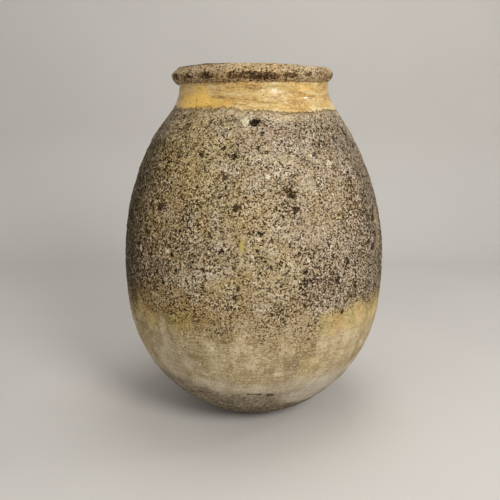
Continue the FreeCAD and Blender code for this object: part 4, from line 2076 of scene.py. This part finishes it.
@dataclass
class InnerCoat:
    """The coat of glaze inside, over the marks of the potter's fingers.

    Attributes:
        outline: The jar's meridian.
        material: Its finish.
        step: The size of its faces.
        back_step: The size of the faces of its back.
        ridge: The height of the finger marks.
        ridge_pitch: How far apart they are.
        unevenness: The height of the coat's own lumps.
        least: How far it may thin out.
    """

    outline: Meridian
    material: Material
    step: float = 0.0050
    back_step: float = 0.030
    ridge: float = 0.0008
    ridge_pitch: float = 0.024
    unevenness: float = 0.0006
    least: float = 0.0008

    def skin(self, depth: float, step: float, wear: float) -> list[Station]:
        """Draws one side of the coat, from the floor's middle up to the mouth.

        Args:
            depth: How far behind the jar's face it runs.
            step: The size of its faces.
            wear: 1 for the side that shows and 0 for the back.

        Returns:
            Its stations, with no sharp corners.
        """
        outline, bowl = self.outline, self.outline.bowl
        floor = outline.base_thickness + depth - outline.wall
        reach = bowl.radius - depth
        edge = bowl.centre_r + math.sqrt(reach**2 - (floor - bowl.centre_z) ** 2)
        start = bowl.centre_z + (floor - bowl.centre_z) * bowl.radius / reach
        mouth = outline.throat_radius - depth
        section = Section()
        section.line((0, floor), (edge, floor), step, wear)
        arcs = (
            (bowl, start, outline.bowl_top),
            (outline.belly, outline.bowl_top, outline.belly_height),
            (outline.shoulder, outline.belly_height, outline.shoulder_top),
            (outline.neck, outline.shoulder_top, outline.lip_base),
        )
        for arc, low, high in arcs:
            section.arc(arc, low, high, depth, step, wear)
        section.line((mouth, outline.lip_base), (mouth, outline.height - outline.mouth_ease), step, wear)
        return [replace(station, corner=False) for station in section.stations]

    def build(self) -> Piece:
        """Coats the inside, over the finger marks.

        Returns:
            The coat.
        """
        outline = self.outline
        front = self.skin(outline.wall + outline.glaze, self.step, 1)
        back = self.skin(outline.wall, self.back_step, 0)
        piece = turn("worn_inner_glaze", Section(front + back[::-1]), self.step)
        mesh = piece.data
        rows = places(mesh)
        height, points = rows[:, 2], rows.T
        share = read(mesh, "wear")
        inward = -looks(mesh, rows)
        floor = height < outline.base_thickness + outline.glaze * 2
        inward[floor] = (0, 0, 1)
        wander = GRAIN.clouds(points, 0.10, 2, 41)
        marks = np.sin(height * 2 * math.pi / self.ridge_pitch + 3 * wander)
        up_wall = band(height, 0.05, 0.12, outline.height - 0.06, outline.height - 0.02)
        lumps = self.unevenness * GRAIN.clouds(points, 0.05, 3, 42)
        move = (self.ridge * (1 + marks) * up_wall + lumps) * share
        move = np.where(share > 0, np.maximum(move, -self.least), 0)
        put(mesh, rows + inward * move[:, None])
        settled = rise(height + 0.05 * wander, 0.16, 0.04)
        rubbed_height = height + 0.004 * GRAIN.clouds(points, 0.02, 3, 43)
        rubbed = rise(rubbed_height, outline.height - 0.032, outline.height - 0.020)
        keep(mesh, Trace.FILM.value, np.clip(settled + 0.8 * rubbed, 0, 1))
        return dress(piece, self.material, Slot.GLAZE, "inner_glaze")


# Stage


@dataclass(frozen=True)
class Lamp:
    """A soft round lamp.

    Attributes:
        name: Its name.
        place: Where it hangs.
        faces: The place that it faces.
        size: Its width.
        power: Its power, in watts.
        colour: The colour of its light.
    """

    name: str
    place: Triple
    faces: Triple
    size: float
    power: float
    colour: Triple = (1.0, 1.0, 1.0)

    def hang(self) -> None:
        """Hangs the lamp."""
        light = bpy.data.lights.new(self.name, "AREA")
        light.shape = "DISK"
        light.size = self.size
        light.energy = self.power
        light.color = self.colour
        lamp = bpy.data.objects.new(self.name, light)
        lamp.location = self.place
        lamp.rotation_euler = (Vector(self.faces) - Vector(self.place)).to_track_quat("-Z", "Y").to_euler()
        bpy.context.scene.collection.objects.link(lamp)


@dataclass(frozen=True)
class Stage:
    """A pale sweep of floor and backdrop, soft lamps, and the camera at the photograph's view.

    Attributes:
        camera_distance: From the jar's axis, along the floor.
        camera_height: Above the floor.
        camera_aside: To the right of the jar's axis.
        camera_pitch: Degrees below level.
        camera_roll: Degrees, clockwise as the picture shows it.
        lens: The focal length, in millimetres.
        floor_front: How far the floor reaches to the front.
        floor_back: Where it starts to sweep up.
        sweep: The radius of that sweep.
        turns: How many faces the sweep has.
        wall_top: The height of the backdrop.
        half_width: Half the width of them all.
        melt_start: How far from the jar the paper starts to melt into the air.
        melt_end: Where only the air is seen.
        pale: The paper's colour.
        air: The colour of the air behind it.
        world_light: The strength of the even light from all sides.
        lamps: The lamps.
    """

    camera_distance: float = 1.543
    camera_height: float = 0.787
    camera_aside: float = -0.0086
    camera_pitch: float = 14.1
    camera_roll: float = 0.42
    lens: float = 45.0
    floor_front: float = 12.0
    floor_back: float = 1.3
    sweep: float = 0.6
    turns: int = 16
    wall_top: float = 4.0
    half_width: float = 12.0
    melt_start: float = 2.4
    melt_end: float = 5.0
    pale: Colour = paint(205, 201, 196)
    air: Colour = paint(193, 189, 184)
    world_light: float = 0.42
    lamps: tuple[Lamp, ...] = (
        Lamp("key_lamp", (1.5, -2.5, 2.0), (0, 0, 0.45), 1.2, 65, (1.0, 0.985, 0.955)),
        Lamp("fill_lamp", (-1.6, -2.3, 1.3), (0, 0, 0.45), 1.6, 6, (1.0, 0.97, 0.90)),
        Lamp("top_lamp", (0.3, 0.2, 3.0), (0, 0, 0.5), 1.6, 22),
        Lamp("side_lamp", (2.34, -0.2, 1.95), (0, 0, 0.75), 0.25, 5),
    )

    def sweep_up(self) -> None:
        """Lays the floor and sweeps it up into the backdrop."""
        bm = bmesh.new()
        line = [(-self.floor_front, 0.0)]
        for index in range(self.turns + 1):
            angle = math.pi / 2 * index / self.turns
            back = self.floor_back + self.sweep * math.sin(angle)
            line.append((back, self.sweep - self.sweep * math.cos(angle)))
        line.append((self.floor_back + self.sweep, self.wall_top))
        verts = [bm.verts.new((-self.half_width, y, z)) for y, z in line]
        edges = [bm.edges.new(pair) for pair in zip(verts, verts[1:])]
        made = bmesh.ops.extrude_edge_only(bm, edges=edges)["geom"]
        far = [part for part in made if isinstance(part, bmesh.types.BMVert)]
        bmesh.ops.translate(bm, vec=(2 * self.half_width, 0, 0), verts=far)
        bmesh.ops.recalc_face_normals(bm, faces=bm.faces)
        for face in bm.faces:
            face.smooth = True
        mesh = bpy.data.meshes.new("studio_sweep")
        bm.to_mesh(mesh)
        bm.free()
        mesh.materials.append(self.paper())
        sweep = bpy.data.objects.new("studio_sweep", mesh)
        bpy.context.scene.collection.objects.link(sweep)

    def paper(self) -> Material:
        """Makes the sweep's finish, pale paper that the eye sees melt into the air far from the jar.

        Returns:
            The material.
        """
        graph = Graph(bpy.data.materials.new("studio_paper"))
        tone = graph.step(graph.clouds(0.5, 2), 0.3, 0.7, 0.985, 1.015)
        pale = {0: self.pale[:3], "Scale": tone}
        shaded = graph.node("ShaderNodeVectorMath", pale, operation="SCALE").outputs[0]
        near = graph.node("ShaderNodeBsdfDiffuse", {"Color": shaded})
        level = graph.node("ShaderNodeVectorMath", {0: graph.spot, 1: (1, 1, 0)}, operation="MULTIPLY")
        distance = graph.node("ShaderNodeVectorMath", {0: level.outputs[0]}, operation="LENGTH")
        far = graph.step(distance.outputs["Value"], self.melt_start, self.melt_end)
        haze = graph.node("ShaderNodeEmission", {"Color": self.air})
        mixed = {0: graph.times(graph.seen(), far), 1: near.outputs[0], 2: haze.outputs[0]}
        both = graph.node("ShaderNodeMixShader", mixed)
        graph.node("ShaderNodeOutputMaterial", {"Surface": both.outputs[0]})
        return graph.owner

    def light(self) -> None:
        """Hangs the lamps, and sets the world's even light and the pale air that the eye sees."""
        for lamp in self.lamps:
            lamp.hang()
        graph = Graph(bpy.data.worlds.new("studio_air"))
        even = graph.node("ShaderNodeBackground", {"Color": (1, 1, 1, 1), "Strength": self.world_light})
        pale = graph.node("ShaderNodeBackground", {"Color": self.air, "Strength": 1})
        both = graph.node("ShaderNodeMixShader", {0: graph.seen(), 1: even.outputs[0], 2: pale.outputs[0]})
        graph.node("ShaderNodeOutputWorld", {"Surface": both.outputs[0]})
        bpy.context.scene.world = graph.owner

    def film(self) -> None:
        """Sets up the camera at the photograph's view."""
        lens = bpy.data.cameras.new("camera")
        lens.lens = self.lens
        camera = bpy.data.objects.new("camera", lens)
        place = Matrix.Translation((self.camera_aside, -self.camera_distance, self.camera_height))
        tilt = Matrix.Rotation(math.radians(90 - self.camera_pitch), 4, "X")
        roll = Matrix.Rotation(math.radians(-self.camera_roll), 4, "Z")
        camera.matrix_world = place @ tilt @ roll
        bpy.context.scene.collection.objects.link(camera)
        bpy.context.scene.camera = camera
        bpy.context.scene.view_settings.view_transform = "Standard"

    def build(self) -> None:
        """Sets the stage."""
        self.sweep_up()
        self.light()
        self.film()


def main() -> None:
    """Builds the stage and every piece of the jar."""
    logging.basicConfig(level=logging.INFO, format="%(name)s: %(message)s")
    Stage().build()
    outline = Meridian.from_frame()
    weather = Weather()
    Body(outline, weather, WeatheredClay().material()).build()
    Lip(outline, LipClay().material()).build()
    NeckCoat(outline, weather, NeckGlaze().material()).build()
    InnerCoat(outline, InnerGlaze().material()).build()


if __name__ == "__main__":
    main()
